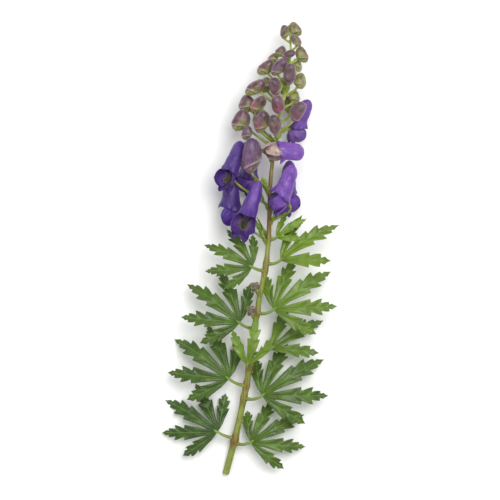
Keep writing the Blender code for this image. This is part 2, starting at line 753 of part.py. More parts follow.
def make_bud(bud):
    bm = bmesh.new()
    bmesh.ops.create_uvsphere(bm, u_segments=BUD_SIDES, v_segments=BUD_RINGS, radius=1)
    for vert in bm.verts:
        x, y, z = vert.co
        front = max(y, 0.0)
        tip = smooth((z - BUD_TIP_FROM) / (1 - BUD_TIP_FROM))
        taper = 1 - BUD_TIP_TAPER * tip - BUD_FOOT_TAPER * max(-z, 0.0) ** 2
        lip = BUD_LIP * front * bump(z, *BUD_LIP_AT)
        groove = BUD_GROOVE * front * bump(z, *BUD_GROOVE_AT)
        wide = taper + lip - groove
        vert.co = Vector(
            (
                x * wide * BUD_FLATNESS * bud.width / 2,
                y * wide * bud.width / 2 + BUD_BEND * bud.length * (z * z - 0.5),
                z * bud.length / 2,
            )
        )
    bmesh.ops.transform(bm, matrix=bud_matrix(bud), verts=bm.verts)
    return object_from(bm)


def bud_seat(bud, made):
    """Where a bud's stalk ends, just off the bud's lowest inner point, and the way from the bud to it."""
    inward = -away_from_stem(Vector(bud.place))
    way = (inward * BUD_SEAT_INWARD - ALONG).normalized()
    far = max(made.data.vertices, key=lambda v: v.co.dot(way)).co / MM
    return far + way * SEAT_GAP, way


# Stalks and bracts, which are one piece with the stem


def make_stalk(seat, way):
    """The stalk that climbs from the stem to a seat, and the bract under it."""
    out = away_from_stem(seat)
    stem_gap = (seat - stem_point(seat.y)).length
    height = seat.y - stem_gap * STALK_CLIMB
    foot = stem_point(height)
    out_and_up = (out + stem_way(height)).normalized()
    line = stalk_line(foot, out_and_up, seat, -way, STALK_STEPS)
    radii = [mix(*STALK_RADIUS, k / STALK_STEPS) for k in range(STALK_STEPS + 1)]
    stalk = tube(line, radii)
    return [stalk, make_bract(height, out)] if height < BRACTS_UP_TO else [stalk]


def make_bract(height, out):
    way = stem_way(height)
    length = table_value(BRACT_LENGTHS, height)
    ahead = (out * BRACT_LIFT + way).normalized()
    turn = leaf_turn(ahead, way - out)
    origin = stem_point(height - BRACT_TUCK) + out * stem_radius(height) / 2
    return blade(BRACT_LEAF, length, turn, origin, BRACT_ARCH, BRACT_FOLD)


def make_stem(seats):
    pieces = [stem_tube()]
    for seat, way in seats:
        pieces.extend(make_stalk(seat, way))
    return fuse(pieces, "stem", "MANIFOLD")


def knob(centre, radius):
    bm = bmesh.new()
    bmesh.ops.create_uvsphere(bm, u_segments=6, v_segments=4, radius=radius)
    bmesh.ops.scale(bm, vec=(1, 1, KNOB_STRETCH), verts=bm.verts)
    bmesh.ops.translate(bm, vec=centre, verts=bm.verts)
    return object_from(bm)


def make_cluster(cluster):
    """A short stalk with a bunch of tiny buds."""
    foot, out = leaf_foot(cluster)
    way = (out + stem_way(cluster.height) * CLUSTER_CLIMB).normalized()
    head = foot + way * cluster.stalk
    pieces = [tube(stalk_line(foot, out, head, way, STALK_STEPS), CLUSTER_STALK_RADII, 1)]
    turn = axes_of(way, stem_way(cluster.height)).to_3x3()
    for x, y, z, radius in CLUSTER_BUDS:
        pieces.append(knob(head + turn @ Vector((x, y, z)), radius))
    return fuse(pieces, "cluster", "MANIFOLD")


def build():
    clear_scene()
    part = make_collection("monkshood_flower_spike")
    violet = make_material("violet_sepals", VIOLET, 0.55)
    mauve = make_material("mauve_buds", MAUVE, 0.6)
    green = make_material("leaf_green", LEAF_GREEN, 0.5)
    olive = make_material("stem_olive", STEM_OLIVE, 0.5)
    anthers = make_material("anther_olive", ANTHER_OLIVE, 0.7)
    seats = []
    for name, flower in FLOWERS.items():
        matrix = flower_matrix(flower)
        finish(placed(flower_sepals(flower), matrix), name, violet, part)
        finish(placed(flower_tuft(flower), matrix), name + "_stamens", anthers, part)
        seats.append(flower_seat(flower))
    for number, bud in enumerate(BUDS, 1):
        made = make_bud(bud)
        seats.append(bud_seat(bud, made))
        finish(made, f"bud_{number}", mauve, part)
    finish(make_stem(seats), "stem", olive, part)
    for name, leaf in LEAVES.items():
        finish(make_leaf(leaf), name, green, part)
    for name, cluster in CLUSTERS.items():
        finish(make_cluster(cluster), name, mauve, part)
    for made in part.objects:
        made.data.transform(Matrix.Translation(FRAME_SHIFT * MM))


build()
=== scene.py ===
"""The looks of a cut monkshood flower spike on its back on a pale table, seen from straight above.

Every piece repeats the layout of the solid that it stands for, with a fine surface. Lengths are in
millimetres in the stem's frame up to the point where a mesh is made. Meshes are in metres in the object's
frame.
"""

import math
from collections import namedtuple
from contextlib import contextmanager

import bmesh
import bpy
import numpy as np
from mathutils import Matrix, Vector, noise
from mathutils.geometry import interpolate_bezier


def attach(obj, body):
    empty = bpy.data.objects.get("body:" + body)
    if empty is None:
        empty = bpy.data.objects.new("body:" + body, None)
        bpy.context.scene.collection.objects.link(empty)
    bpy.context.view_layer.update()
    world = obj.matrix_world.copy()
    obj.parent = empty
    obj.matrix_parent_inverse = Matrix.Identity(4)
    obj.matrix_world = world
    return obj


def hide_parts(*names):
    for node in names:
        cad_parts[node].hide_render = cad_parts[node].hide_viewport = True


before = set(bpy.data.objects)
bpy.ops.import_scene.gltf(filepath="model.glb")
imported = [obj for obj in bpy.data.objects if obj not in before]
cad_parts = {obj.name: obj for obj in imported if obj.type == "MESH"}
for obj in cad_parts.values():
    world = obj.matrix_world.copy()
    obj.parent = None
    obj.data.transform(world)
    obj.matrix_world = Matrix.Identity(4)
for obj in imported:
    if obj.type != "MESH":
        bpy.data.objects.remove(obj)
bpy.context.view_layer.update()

MM = 0.001
WELD_REACH = 0.01 * MM
ALONG = Vector((0, 1, 0))
FRAME_SHIFT = Vector((8.0, 1.2, 0))

# The section of a tube: its sides, its ridges, and their depth as a share of the radius
Section = namedtuple("Section", "sides ridges depth")
STEM_SECTION = Section(28, 6, 0.05)
STALK_SECTION = Section(14, 4, 0.06)
LEAF_STALK_SECTION = Section(14, 3, 0.10)
CLUSTER_STALK_SECTION = Section(12, 3, 0.08)
VEIN_SECTION = Section(6, 0, 0.0)
POD_SECTION = Section(10, 2, 0.12)
NECTARY_SECTION = Section(10, 2, 0.10)

# The stem's axis, its radius at heights along Y, its swelling at each leaf, its cut end, and how it flushes
STEM_LINE = (
    (-26.3, -170.0, 2.07),
    (-19.5, -144.0, 6.2),
    (-13.8, -118.0, 10.0),
    (-8.6, -90.0, 13.4),
    (-4.6, -60.0, 16.8),
    (-0.2, -33.0, 19.4),
    (4.0, -12.0, 21.4),
    (6.2, 14.0, 23.4),
    (7.4, 52.0, 25.6),
    (12.4, 89.0, 27.2),
    (18.6, 120.0, 27.6),
    (22.2, 148.0, 27.0),
    (20.6, 166.0, 26.4),
)
STEM_RADII = ((-170, 2.4), (-60, 2.1), (-12, 1.8), (52, 1.4), (120, 0.95), (166, 0.6))
JOINT_SWELL = 0.6
JOINT_LENGTH = 3.0
STEM_STEP = 2.0
CUT_STEPS = ((0.3, 0.0), (0.08, 0.25), (0.7, 0.1))
FLUSH_BETWEEN = (5, 72)
FLUSH_FADE = 14
STEM_FLUSH = 0.95
JOINT_FLUSH = 0.6

# Open flowers: the hood's height, its half widths and depths at the dome and at the hem, its beak and hem,
# the petals, and the seat of the stalk
HOOD_HEIGHT = 33.0
HOOD_HALF_WIDTH = (4.4, 6.9)
HOOD_HALF_DEPTH = (5.2, 8.4)
HOOD_CENTRE = (5.8, 8.0)
HEM_RISE = 0.24
HEM_FROM = 0.80
DOME_SHARE = 0.24
DOME_CROWDING = 1.55
BEAK_LENGTH = 2.2
BEAK_SPREAD = 0.45
BEAK_DROP = 0.6
BEAK_FROM = 0.75
BROW_HOLLOW = 0.14
HEM_FLARE = 0.45
HEM_RUFFLE = 0.65
HEM_RUFFLES = 7
KEEL_HEIGHT = 0.35
KEEL_SPREAD = 0.16
HOOD_DENTS = ((7.0, 0.6, 0), (2.6, 0.26, 3))
PETAL_THICKNESS = 0.4
PETAL_BASE_HALF_WIDTH = 1.1
PETAL_WIDEST_AT = 0.58
PETAL_BELLY = 0.6
SEAT_GAP = 0.35
HOOD_ROWS = 40
HOOD_COLUMNS = 64
PETAL_ROWS = 22
PETAL_COLUMNS = 18
RECEPTACLE_RADIUS = 1.9
FLOWER_SEAT = Vector((0, -0.88, -0.47)).normalized()
FLOWER_SEAT_SHARE = 0.8

# The tuft: stamens round three seed pods, and two nectar petals up in the hood
TUFT_FORWARD = Vector((0, 0.99, -0.12)).normalized()
STAMEN_COUNT = 30
STAMEN_LENGTH = 7.6
STAMEN_RING = 1.3
STAMEN_SPREAD = 0.30
FILAMENT_RADIUS = 0.14
ANTHER_SIZE = 0.46
GOLDEN_ANGLE = math.pi * (3 - math.sqrt(5))
POD_LINE = ((0.0, 0.4), (1.5, 0.85), (3.4, 0.75), (5.0, 0.32), (6.6, 0.16))
NECTARY_POINTS = ((0.4, 2.9, -0.4), (1.5, 5.2, 6.0), (1.4, 6.4, 14.0), (1.2, 7.6, 21.0), (1.1, 6.2, 22.4))
NECTARY_RADII = ((0.0, 0.35), (0.25, 0.3), (0.5, 0.35), (0.75, 0.7), (1.0, 0.35))

# A petal: its base, the way it points, the way its outside looks, its length, half width, cup and ruffle
Petal = namedtuple("Petal", "base way out length half_width cup ruffle")
SIDE_SEPAL = Petal((1.7, 0.8, 0.6), (0.46, 0.86, -0.20), (0.86, -0.45, -0.10), 16.0, 7.6, 2.6, 0.55)
LOWER_SEPAL = Petal((1.0, 0.4, -1.0), (0.26, 0.52, -0.81), None, 14.5, 3.3, 2.4, 0.30)
LOWER_SEPAL_TURN = 0.30
SIDE_SEPAL_DEPTH = 0.3

# x, y and z of the receptacle, the way its hood points, the way its face looks, its scale, how drawn out
# and how plump its hood is, and its tone: how deep, how much painted light and how cream-sided it is
Flower = namedtuple("Flower", "place hood face scale stretch plump tone")
FLOWERS = (
    Flower((-12.0, 19.0, 29.0), (0.33, 0.90, 0.10), (-0.10, -0.25, 1.0), 1.00, 1.0, 0.95, (0.35, 0.12, 0.0)),
    Flower((-20.5, 51.5, 26.0), (0.30, 0.95, 0.12), (-0.62, -0.15, 0.75), 0.88, 1.0, 1.0, (0.95, 0.05, 0.0)),
    Flower((20.0, 33.0, 35.5), (0.30, 0.93, 0.14), (-0.86, -0.15, 0.12), 0.88, 0.98, 1.05, (0.10, 0.40, 0.0)),
    Flower((11.5, 78.6, 36.6), (1.00, -0.08, 0.05), (-0.08, -0.95, 0.20), 0.84, 0.76, 1.4, (0.2, 0.6, 0.9)),
    Flower((21.5, 89.0, 19.5), (0.40, 0.90, 0.10), (0.70, -0.15, -0.45), 0.78, 1.0, 1.15, (0.35, 0.25, 0.1)),
    Flower(
        (-15.0, 26.0, 17.0), (-0.10, 1.00, 0.05), (-0.90, -0.20, -0.10), 0.94, 1.0, 1.0, (0.85, 0.00, 0.0)
    ),
    Flower((-4.0, 51.0, 15.6), (-0.12, 1.00, 0.02), (-0.55, -0.10, -0.70), 0.90, 1.0, 1.0, (0.60, 0.10, 0.0)),
    Flower((15.0, 36.0, 15.97), (0.12, 1.00, 0.02), (0.55, -0.10, -0.72), 0.92, 1.0, 1.0, (0.45, 0.15, 0.0)),
)

# x, y and z of a bud's middle, its length and width, its lean to the right of +Y and its tilt up, in
# degrees, and its tone: how green, how pink and how violet it is
Bud = namedtuple("Bud", "place length width lean tilt tone")
BUDS = (
    Bud((17.5, 160.5, 29.0), 11.0, 7.3, 5, 20, (0.10, 0.0, 0.0)),
    Bud((26.0, 163.0, 27.0), 12.0, 8.3, -42, -5, (0.40, 0.1, 0.0)),
    Bud((26.2, 153.8, 32.5), 10.4, 7.7, -40, 10, (0.20, 0.3, 0.0)),
    Bud((31.0, 144.0, 27.0), 13.0, 8.7, -32, 0, (0.35, 0.2, 0.0)),
    Bud((14.5, 146.5, 25.0), 9.4, 7.3, 50, 10, (0.05, 0.2, 0.0)),
    Bud((20.5, 143.4, 34.2), 11.0, 6.8, 70, 10, (0.00, 0.1, 0.1)),
    Bud((9.0, 141.5, 19.0), 9.9, 8.1, 40, -20, (0.15, 0.1, 0.0)),
    Bud((3.4, 134.3, 27.5), 14.6, 10.2, 55, 5, (0.00, 0.1, 0.0)),
    Bud((13.5, 134.0, 36.0), 16.1, 10.6, 42, 12, (0.00, 0.0, 0.25)),
    Bud((21.5, 128.5, 38.5), 16.6, 10.9, 5, 15, (0.08, 0.0, 0.20)),
    Bud((27.5, 136.5, 21.5), 11.0, 7.5, -15, -10, (0.70, 0.0, 0.0)),
    Bud((29.5, 124.0, 31.5), 12.0, 9.5, -12, -10, (0.60, 0.0, 0.0)),
    Bud((-4.2, 119.3, 28.5), 17.2, 11.1, 58, 5, (0.00, 0.2, 0.0)),
    Bud((10.4, 119.5, 37.0), 14.6, 10.6, -12, 20, (0.00, 0.1, 0.10)),
    Bud((-11.0, 107.5, 23.5), 14.0, 11.8, 25, -5, (0.05, 0.1, 0.10)),
    Bud((-2.0, 106.5, 34.0), 15.1, 10.6, 45, 20, (0.00, 0.9, 0.0)),
    Bud((12.4, 106.0, 38.5), 15.1, 10.9, -10, 25, (0.00, 0.8, 0.05)),
    Bud((-15.2, 95.0, 28.5), 17.2, 13.0, 35, 10, (0.00, 0.0, 0.10)),
    Bud((0.4, 93.5, 36.5), 17.7, 11.8, 20, 18, (0.00, 0.6, 0.10)),
    Bud((10.2, 91.0, 40.0), 16.1, 11.1, -10, 20, (0.10, 0.2, 0.05)),
    Bud((27.5, 101.0, 37.0), 16.1, 11.3, 28, 15, (0.05, 0.3, 0.20)),
    Bud((-7.5, 68.5, 37.0), 26.5, 15.4, 8, 8, (0.00, 0.15, 0.75)),
    Bud((17.5, 121.5, 16.5), 14.0, 10.4, 5, -10, (0.40, 0.0, 0.0)),
    Bud((3.5, 122.0, 17.5), 13.0, 10.4, 25, -15, (0.30, 0.1, 0.0)),
    Bud((22.0, 107.0, 13.5), 15.1, 11.3, -15, -8, (0.15, 0.1, 0.15)),
    Bud((-1.0, 97.5, 14.5), 15.6, 11.8, 15, -8, (0.15, 0.2, 0.15)),
    Bud((25.4, 112.6, 27.0), 10.0, 8.0, -20, -5, (0.65, 0.0, 0.0)),
    Bud((-10.6, 85.6, 33.0), 11.0, 8.2, 20, 0, (0.05, 0.1, 0.45)),
)
BUD_TIP_TAPER = 0.06
BUD_TIP_FROM = -0.4
BUD_FOOT_TAPER = 0.12
BUD_LIP = 0.05
BUD_LIP_AT = (-0.55, 0.30)
BUD_LIP_DROP = 0.6
BUD_GROOVE = 0.07
BUD_GROOVE_AT = (-0.15, 0.18)
BUD_BEND = 0.10
BUD_FOOT_BEND = 0.2
BUD_FLATNESS = 0.86
BUD_SEAT_INWARD = 0.75
BUD_HEM = (-0.80, -0.12)
BUD_HEM_STEP = 0.045
BUD_SEAM = 0.15
BUD_CHEEK = 0.05
BUD_BLUNTNESS = 0.20
BUD_DENT = 0.05
BUD_BACK_SEAM_AT = 1.9
BUD_UNDER_HEM = 1.004
BUD_HOOD_ROWS = 22
BUD_FOOT_ROWS = 14
BUD_COLUMNS = 40

# Stalks of the flowers and buds, the bract under each, and the two tiny leaves on a flower's stalk
STALK_RADII = ((0.0, 1.35), (0.12, 1.05), (0.6, 0.78), (0.9, 0.80), (1.0, 1.10))
STALK_PULL = 0.38
STALK_CLIMB = 0.75
STALK_POINTS = 14
STALK_SINK = 0.9
BRACT_LENGTHS = ((0, 19.0), (40, 14.0), (80, 9.0), (110, 7.0), (150, 5.0))
BRACTS_UP_TO = 152.0
BRACT_LIFT = 0.8
BRACT_ARCH = -25
BRACT_FOLD = 0.25
BRACT_TUCK = 2.0
BRACT_YOUTH = 1.0
BRACT_TOOTHED_FROM = 11.0
BRACTEOLE_LENGTH = 5.5
BRACTEOLE_AT = 0.45
BRACTEOLE_SPREAD = 0.8
BRACTEOLE_YOUTH = 0.5

# A leaf's outline: the angle between its lobes, their lengths from left to right, the reach of the web, the
# lobes' width as a share of the length, and the teeth of each lobe
LeafShape = namedtuple("LeafShape", "spacing lengths web width_share teeth")
BROAD = LeafShape(35, (0.64, 0.88, 1.0, 0.88, 0.64), 0.16, 0.146, (3, 4, 4, 4, 3))
RIGHT = LeafShape(35, (0.52, 0.82, 1.0, 0.90, 0.68), 0.16, 0.146, (3, 4, 4, 4, 3))
NARROW = LeafShape(38, (0.76, 1.0, 0.76), 0.16, 0.150, (3, 4, 3))
BRACT_LEAF = LeafShape(40, (1.0,), 0.30, 0.17, (1,))
BRACT_TOOTHED = LeafShape(40, (1.0,), 0.30, 0.23, (3,))
TOOTH_DEPTH = 0.58
TIP_TOOTH_DEPTH = 0.40
TOOTH_CREST = 0.70
TIP_CREST = 0.22
FIRST_TOOTH_SHARE = 0.44
FIRST_TOOTH_CREST = 0.82
TOOTH_LEAN = 1.0
LOBE_WIDEST_AT = 0.50
LOBE_TAPER = 1.05
LOBE_WIDTH_EVENNESS = 0.4

# A blade: its outline, the middle lobe's length, its arch in degrees, how far its lobes fold up from their
# ribs, and how young it is. A leaf has a blade's values, and y on the stem, which way the stalk leaves, the
# stalk's length, the middle lobe's way and which way the upper side looks
Blade = namedtuple("Blade", "shape length arch fold young")
Leaf = namedtuple("Leaf", "shape height out stalk length way face arch fold young")
LEAVES = (
    Leaf(NARROW, -11, (0.95, 0.2, 0.35), 9, 52, (0.72, 0.67, 0.34), (-0.40, 0.30, 0.85), 46, 0.22, 0.75),
    Leaf(BROAD, -17, (-0.8, 0.1, 0.6), 9, 42, (-0.80, 0.50, 0.34), (0.30, 0.10, 1.0), 62, 0.20, 0.30),
    Leaf(RIGHT, -48, (0.9, 0.1, 0.45), 11, 55, (0.75, 0.65, 0.22), (-0.20, 0.18, 1.0), 56, 0.20, 0.55),
    Leaf(BROAD, -60, (-0.9, 0.1, 0.4), 10, 52, (-0.69, 0.66, 0.22), (0.25, 0.15, 1.0), 55, 0.20, 0.15),
    Leaf(NARROW, -78, (0.95, 0.1, 0.0), 12, 48, (0.81, 0.58, 0.00), (-0.1, 0.35, 0.9), 40, 0.22, 0.45),
    Leaf(NARROW, -90, (-0.3, 0.2, 0.95), 9, 40, (0.25, 0.72, 0.60), (0.1, -0.5, 0.85), 72, 0.22, 0.80),
    Leaf(RIGHT, -112, (0.9, 0.1, 0.45), 12, 58, (0.78, 0.60, 0.22), (-0.20, 0.18, 1.0), 60, 0.18, 0.20),
    Leaf(BROAD, -103, (-0.9, 0.1, 0.4), 12, 56, (-0.70, 0.66, 0.22), (0.2, 0.15, 1.0), 66, 0.20, 0.10),
    Leaf(RIGHT, -146, (0.9, 0.0, 0.4), 10, 48, (0.82, 0.50, 0.20), (-0.1, 0.15, 1.0), 52, 0.20, 0.25),
    Leaf(BROAD, -143, (-0.9, 0.0, 0.2), 11, 50, (-0.79, 0.56, 0.10), (0.1, 0.15, 1.0), 50, 0.20, 0.0),
    Leaf(NARROW, 7, (0.85, 0.3, 0.45), 4, 27, (0.74, 0.62, 0.40), (-0.4, 0.1, 0.9), 45, 0.25, 0.90),
)
LEAF_STALK_RADII = ((0.0, 1.6), (0.15, 1.25), (1.0, 0.85))
LEAF_STALK_TUCK = 3.1
LEAF_STALK_FLUSH = 0.4
LEAF_WAVE = 1.3
LEAF_WAVE_TURNS = (4.2, 5.0)
LEAF_QUILTING = 1.05
LEAF_CRINKLE = 0.7
LEAF_CRINKLE_SIZE = 6.0
LEAF_RIB_RADII = (0.62, 0.14)
LEAF_VEIN_RADII = (0.26, 0.07)
VEIN_FAR = 4.0
RIB_DEPTH = 0.75
RIB_HOLLOW = 0.5
BLADE_THICKNESS = 0.34
FLOOR_CLEARANCE = 0.30
FLOOR_SOFTNESS = 1.2
WEB_ROWS = 7
CREST_ROWS = 9
NOTCH_ROWS = 5
LOBE_COLUMNS = 7

# Clusters of tiny buds in the leaf axils: the stem height, the way out, the stalk's length
Cluster = namedtuple("Cluster", "height out stalk")
CLUSTERS = (Cluster(-53, (-0.45, 0.1, 0.90), 10), Cluster(-35, (-0.45, 0.3, 0.90), 9))
CLUSTER_CLIMB = 0.8
CLUSTER_STALK_RADII = ((0.0, 1.1), (0.2, 0.8), (1.0, 0.9))
# Each bud's place from the head of the stalk, its radius, which gives its length and width, and its tone
TinyBud = namedtuple("TinyBud", "place radius tone")
TINY_BUDS = (
    TinyBud((0.0, 0.0, 2.6), 2.5, (0.2, 0.5, 0.0)),
    TinyBud((2.4, 0.6, 1.0), 2.1, (0.1, 0.3, 0.0)),
    TinyBud((-2.3, 0.8, 1.2), 2.1, (0.5, 0.2, 0.0)),
    TinyBud((0.3, -2.3, 0.6), 2.0, (0.1, 0.6, 0.0)),
    TinyBud((0.2, 2.4, 0.8), 2.0, (0.4, 0.2, 0.0)),
)
TINY_BUD_SHARES = (2.3, 1.9)
TINY_BUD_LIFT = Vector((0, 0, 1.5))
TINY_BUD_FINENESS = 0.6

# Down: the hairs' length and width, and how many stand on a square millimetre
DOWN_LENGTH = 0.55
DOWN_WIDTH = 0.028
DOWN_PER_SQUARE_MM = 0.8
STEM_DOWN_PER_SQUARE_MM = 0.7

# How low a finished piece may lie, and how softly it is pressed up there
FLOOR_LOW = 0.03
FLOOR_PRESS = 0.12

# Where the seeds of each kind of piece begin
LEAF_SEED = 20
BRACT_SEED = 40
CLUSTER_SEED = 60
CLUSTER_SEED_STEP = 7
BRACTEOLE_SEED = 80
STEM_DOWN_SEED = 3

# The skins: the heights between which the stalks turn fresh, colours, veins across a petal, and relief
FRESH_FROM = (66, 98)
FRESH_GREEN = (0.430, 0.500, 0.085)
FRESH_GREEN_DARK = (0.250, 0.330, 0.040)
SEPAL_CREAM = (0.600, 0.450, 0.300)
BUD_MAUVE = (0.195, 0.092, 0.112)
BUD_MAUVE_DARK = (0.036, 0.013, 0.020)
BUD_VIOLET = (0.165, 0.080, 0.225)
BUD_VIOLET_DARK = (0.062, 0.026, 0.100)
BUD_PINK = (0.400, 0.110, 0.160)
BUD_GREEN = (0.430, 0.470, 0.095)
BUD_GREEN_DARK = (0.210, 0.250, 0.045)
BUD_LIP_PALE = (0.500, 0.400, 0.360)
BUD_LIP_PINK = (0.520, 0.190, 0.250)
BUD_RIM = (0.560, 0.430, 0.400)
BUD_SHADE = (0.024, 0.014, 0.020)
PETAL_VEINS = 34.0
BUD_VEINS = 26.0
STREAK_SCALE = (900.0, 45.0, 900.0)
SKIN_RELIEF = 0.12
FINE_RELIEF = 0.08

# The table, the light and the camera, in metres
FLOOR_SIZE = 6.0
LOOK_AT = Vector((0, 0, 0.025))
CAMERA_HEIGHT = 1.6
FRAME_WIDTH = 0.372
WORLD_STRENGTH = 0.52
LAMPS = (
    ("key_light", (0.30, 0.35, 1.05), 0.70, 11.0),
    ("fill_light", (-0.8, -0.2, 0.8), 0.9, 2.8),
)


# Small helpers


def smooth(value):
    """0 to 1, with a soft start and end."""
    value = min(max(value, 0.0), 1.0)
    return value * value * (3 - 2 * value)


def mix(first, last, share):
    return first + (last - first) * share


def rise_from(start, value):
    """0 up to the start, and from there softly up to 1 at 1."""
    return smooth((value - start) / (1 - start))


def bump(at, middle, spread):
    """1 at the middle, falling away softly on both sides."""
    return math.exp(-(((at - middle) / spread) ** 2))


def table_value(table, at):
    places, values = zip(*table)
    return float(np.interp(at, places, values))


def shares(count):
    return [k / count for k in range(count + 1)]


def axes_of(up_way, face_way):
    """A turn whose Z is the first way and whose Y lies as near as it can to the second."""
    up = Vector(up_way).normalized()
    face = Vector(face_way)
    face = (face - up * face.dot(up)).normalized()
    return Matrix((face.cross(up), face, up)).transposed().to_4x4()


def mirrored(point, side):
    x, y, z = point
    return Vector((side * x, y, z))


# Meshes


def in_scene(name, data):
    """A new object in the scene."""
    made = bpy.data.objects.new(name, data)
    bpy.context.scene.collection.objects.link(made)
    return made


@contextmanager
def edited(mesh):
    """The mesh, open for editing."""
    bm = bmesh.new()
    bm.from_mesh(mesh)
    yield bm
    bm.to_mesh(mesh)
    bm.free()


def quads(name, rows):
    """A mesh of quads through rows of points in millimetres."""
    columns = len(rows[0])
    starts = [row * columns + column for row in range(len(rows) - 1) for column in range(columns - 1)]
    faces = [(first, first + 1, first + 1 + columns, first + columns) for first in starts]
    mesh = bpy.data.meshes.new(name)
    mesh.from_pydata([point * MM for row in rows for point in row], [], faces)
    return mesh


def sheet(point_at, along, across, paint_at, sides_at=None):
    """Quads through point_at(across, along), with the shares as UV and paint_at's numbers as an attribute."""
    mesh = quads("sheet", [[point_at(u, v) for u in across] for v in along])
    places = [(u, v) for v in along for u in across]
    layer = mesh.uv_layers.new(name="surface")
    for corner in mesh.loops:
        layer.data[corner.index].uv = places[corner.vertex_index]
    store_points(mesh, "paint", [paint_at(u, v) for u, v in places])
    if sides_at is not None:
        store_points(mesh, "sides", [sides_at(u, v) for u, v in places])
    weld(mesh)
    return in_scene("sheet", mesh)


def store_points(mesh, name, values):
    """Stores three numbers for each point of the mesh under a name."""
    layer = mesh.attributes.new(name, "FLOAT_VECTOR", "POINT")
    layer.data.foreach_set("vector", np.asarray(values, float).ravel())


def toned(piece, tone):
    """The piece with its tone stored at each of its points."""
    store_points(piece.data, "tone", np.tile(tone, len(piece.data.vertices)))
    return piece


def weld(mesh):
    """Merges the mesh's doubled points and takes out its pinched faces."""
    with edited(mesh) as bm:
        bmesh.ops.remove_doubles(bm, verts=bm.verts, dist=WELD_REACH)
        bmesh.ops.dissolve_degenerate(bm, dist=WELD_REACH / 10, edges=bm.edges)


def baked(obj):
    """The object with its modifiers' result as its own mesh."""
    graph = bpy.context.evaluated_depsgraph_get()
    mesh = bpy.data.meshes.new_from_object(obj.evaluated_get(graph))
    obj.modifiers.clear()
    obj.data = mesh
    return obj


def walled(obj, thickness):
    """A wall from the sheet. Its inner side takes the second material."""
    wall = obj.modifiers.new("wall", "SOLIDIFY")
    wall.thickness = thickness * MM
    wall.offset = 0
    wall.material_offset = 1
    return obj


def with_materials(obj, materials):
    obj.data.materials.clear()
    for material in materials:
        obj.data.materials.append(material)
    return obj


def gathered(pieces, name, materials, move=None):
    """One object from several, which it takes the place of. They share one list of materials."""
    mesh = bpy.data.meshes.new(name)
    with edited(mesh) as bm:
        for piece in pieces:
            bm.from_mesh(piece.data)
            bpy.data.objects.remove(piece)
        if move is not None:
            bmesh.ops.transform(bm, matrix=move, verts=bm.verts)
    for material in materials:
        mesh.materials.append(material)
    return in_scene(name, mesh)


def metres(matrix):
    """The same placing, for a mesh in metres."""
    return Matrix.Translation(matrix.translation * MM) @ matrix.to_3x3().to_4x4()


def joined(pieces, name, materials, matrix=None):
    """The finished object from its pieces, moved by a matrix in millimetres and pressed up off the table."""
    move = Matrix.Translation(FRAME_SHIFT * MM)
    if matrix is not None:
        move = move @ metres(matrix)
    made = gathered(pieces, name, materials, move)
    corners = np.empty(len(made.data.vertices) * 3)
    made.data.vertices.foreach_get("co", corners)
    over = (corners[2::3] / MM - FLOOR_LOW) / FLOOR_PRESS
    corners[2::3] = (FLOOR_LOW + FLOOR_PRESS * np.logaddexp(0, over)) * MM
    made.data.vertices.foreach_set("co", corners)
    made.data.shade_smooth()
    return made


def set_material(obj, material, materials):
    """Gives all faces the material's place in a list of materials."""
    index = materials.index(material)
    for face in obj.data.polygons:
        face.material_index = index
    return obj


def settle(piece, slot, *nodes):
    """Hangs a finished piece on the root and hides the nodes that it stands for. The slot is not used."""
    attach(piece, "root")
    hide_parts(*nodes)
    return piece


# Node trees

GEOMETRY = "NodeSocketGeometry"
MATERIAL = "NodeSocketMaterial"
NUMBER_SOCKETS = {float: "NodeSocketFloat", int: "NodeSocketInt"}


def add(tree, kind, inputs=None, **settings):
    """A node with its settings, and its inputs set to values or joined to sockets."""
    node = tree.nodes.new(kind)
    for name, value in settings.items():
        setattr(node, name, value)
    for name, value in (inputs or {}).items():
        if isinstance(value, bpy.types.NodeSocket):
            tree.links.new(value, node.inputs[name])
        else:
            node.inputs[name].default_value = value
    return node


def out_of(tree, kind, inputs=None, **settings):
    """The first output of a new node."""
    return add(tree, kind, inputs, **settings).outputs[0]


def new_group(name, output, inputs, kind="ShaderNodeTree", output_type="NodeSocketFloat"):
    """A node group with one output. Each input is a number, or the type of a socket that holds none."""
    group = bpy.data.node_groups.new(name, kind)
    for label, value in inputs.items():
        number_type = NUMBER_SOCKETS.get(type(value))
        socket = group.interface.new_socket(label, in_out="INPUT", socket_type=number_type or value)
        if number_type:
            socket.default_value = value
    group.interface.new_socket(output, in_out="OUTPUT", socket_type=output_type)
    return group, group.nodes.new("NodeGroupInput").outputs, group.nodes.new("NodeGroupOutput").inputs[0]


def shape_tree(name, output, inputs):
    """A geometry tree whose output is a shape."""
    return new_group(name, output, inputs, "GeometryNodeTree", GEOMETRY)


def use(tree, group, inputs=None):
    """The result of a group placed in a tree."""
    return out_of(tree, "ShaderNodeGroup", inputs, node_tree=group)


def calc(tree, operation, *values):
    """A math node's result. Values are numbers or sockets."""
    return out_of(tree, "ShaderNodeMath", dict(enumerate(values)), operation=operation)


def blend_colour(tree, share, first, last):
    """A mix of two colours by a share, each given as a colour or a socket."""
    inputs = {"Factor": share, 6: opaque(first), 7: opaque(last)}
    return add(tree, "ShaderNodeMix", inputs, data_type="RGBA").outputs[2]


def layered(tree, colour, *layers):
    """A colour with others laid over it. Each layer is its share and its colour."""
    for share, over in layers:
        colour = blend_colour(tree, share, colour, over)
    return colour


def opaque(colour):
    return colour if isinstance(colour, bpy.types.NodeSocket) else (*colour, 1)


def scaled(tree, value, factor, *shift):
    """The value times a factor, plus a shift if one is given."""
    return calc(tree, "MULTIPLY_ADD" if shift else "MULTIPLY", value, factor, *shift)


def limited(tree, value):
    """The value, but no more than 1."""
    return calc(tree, "MINIMUM", value, 1.0)


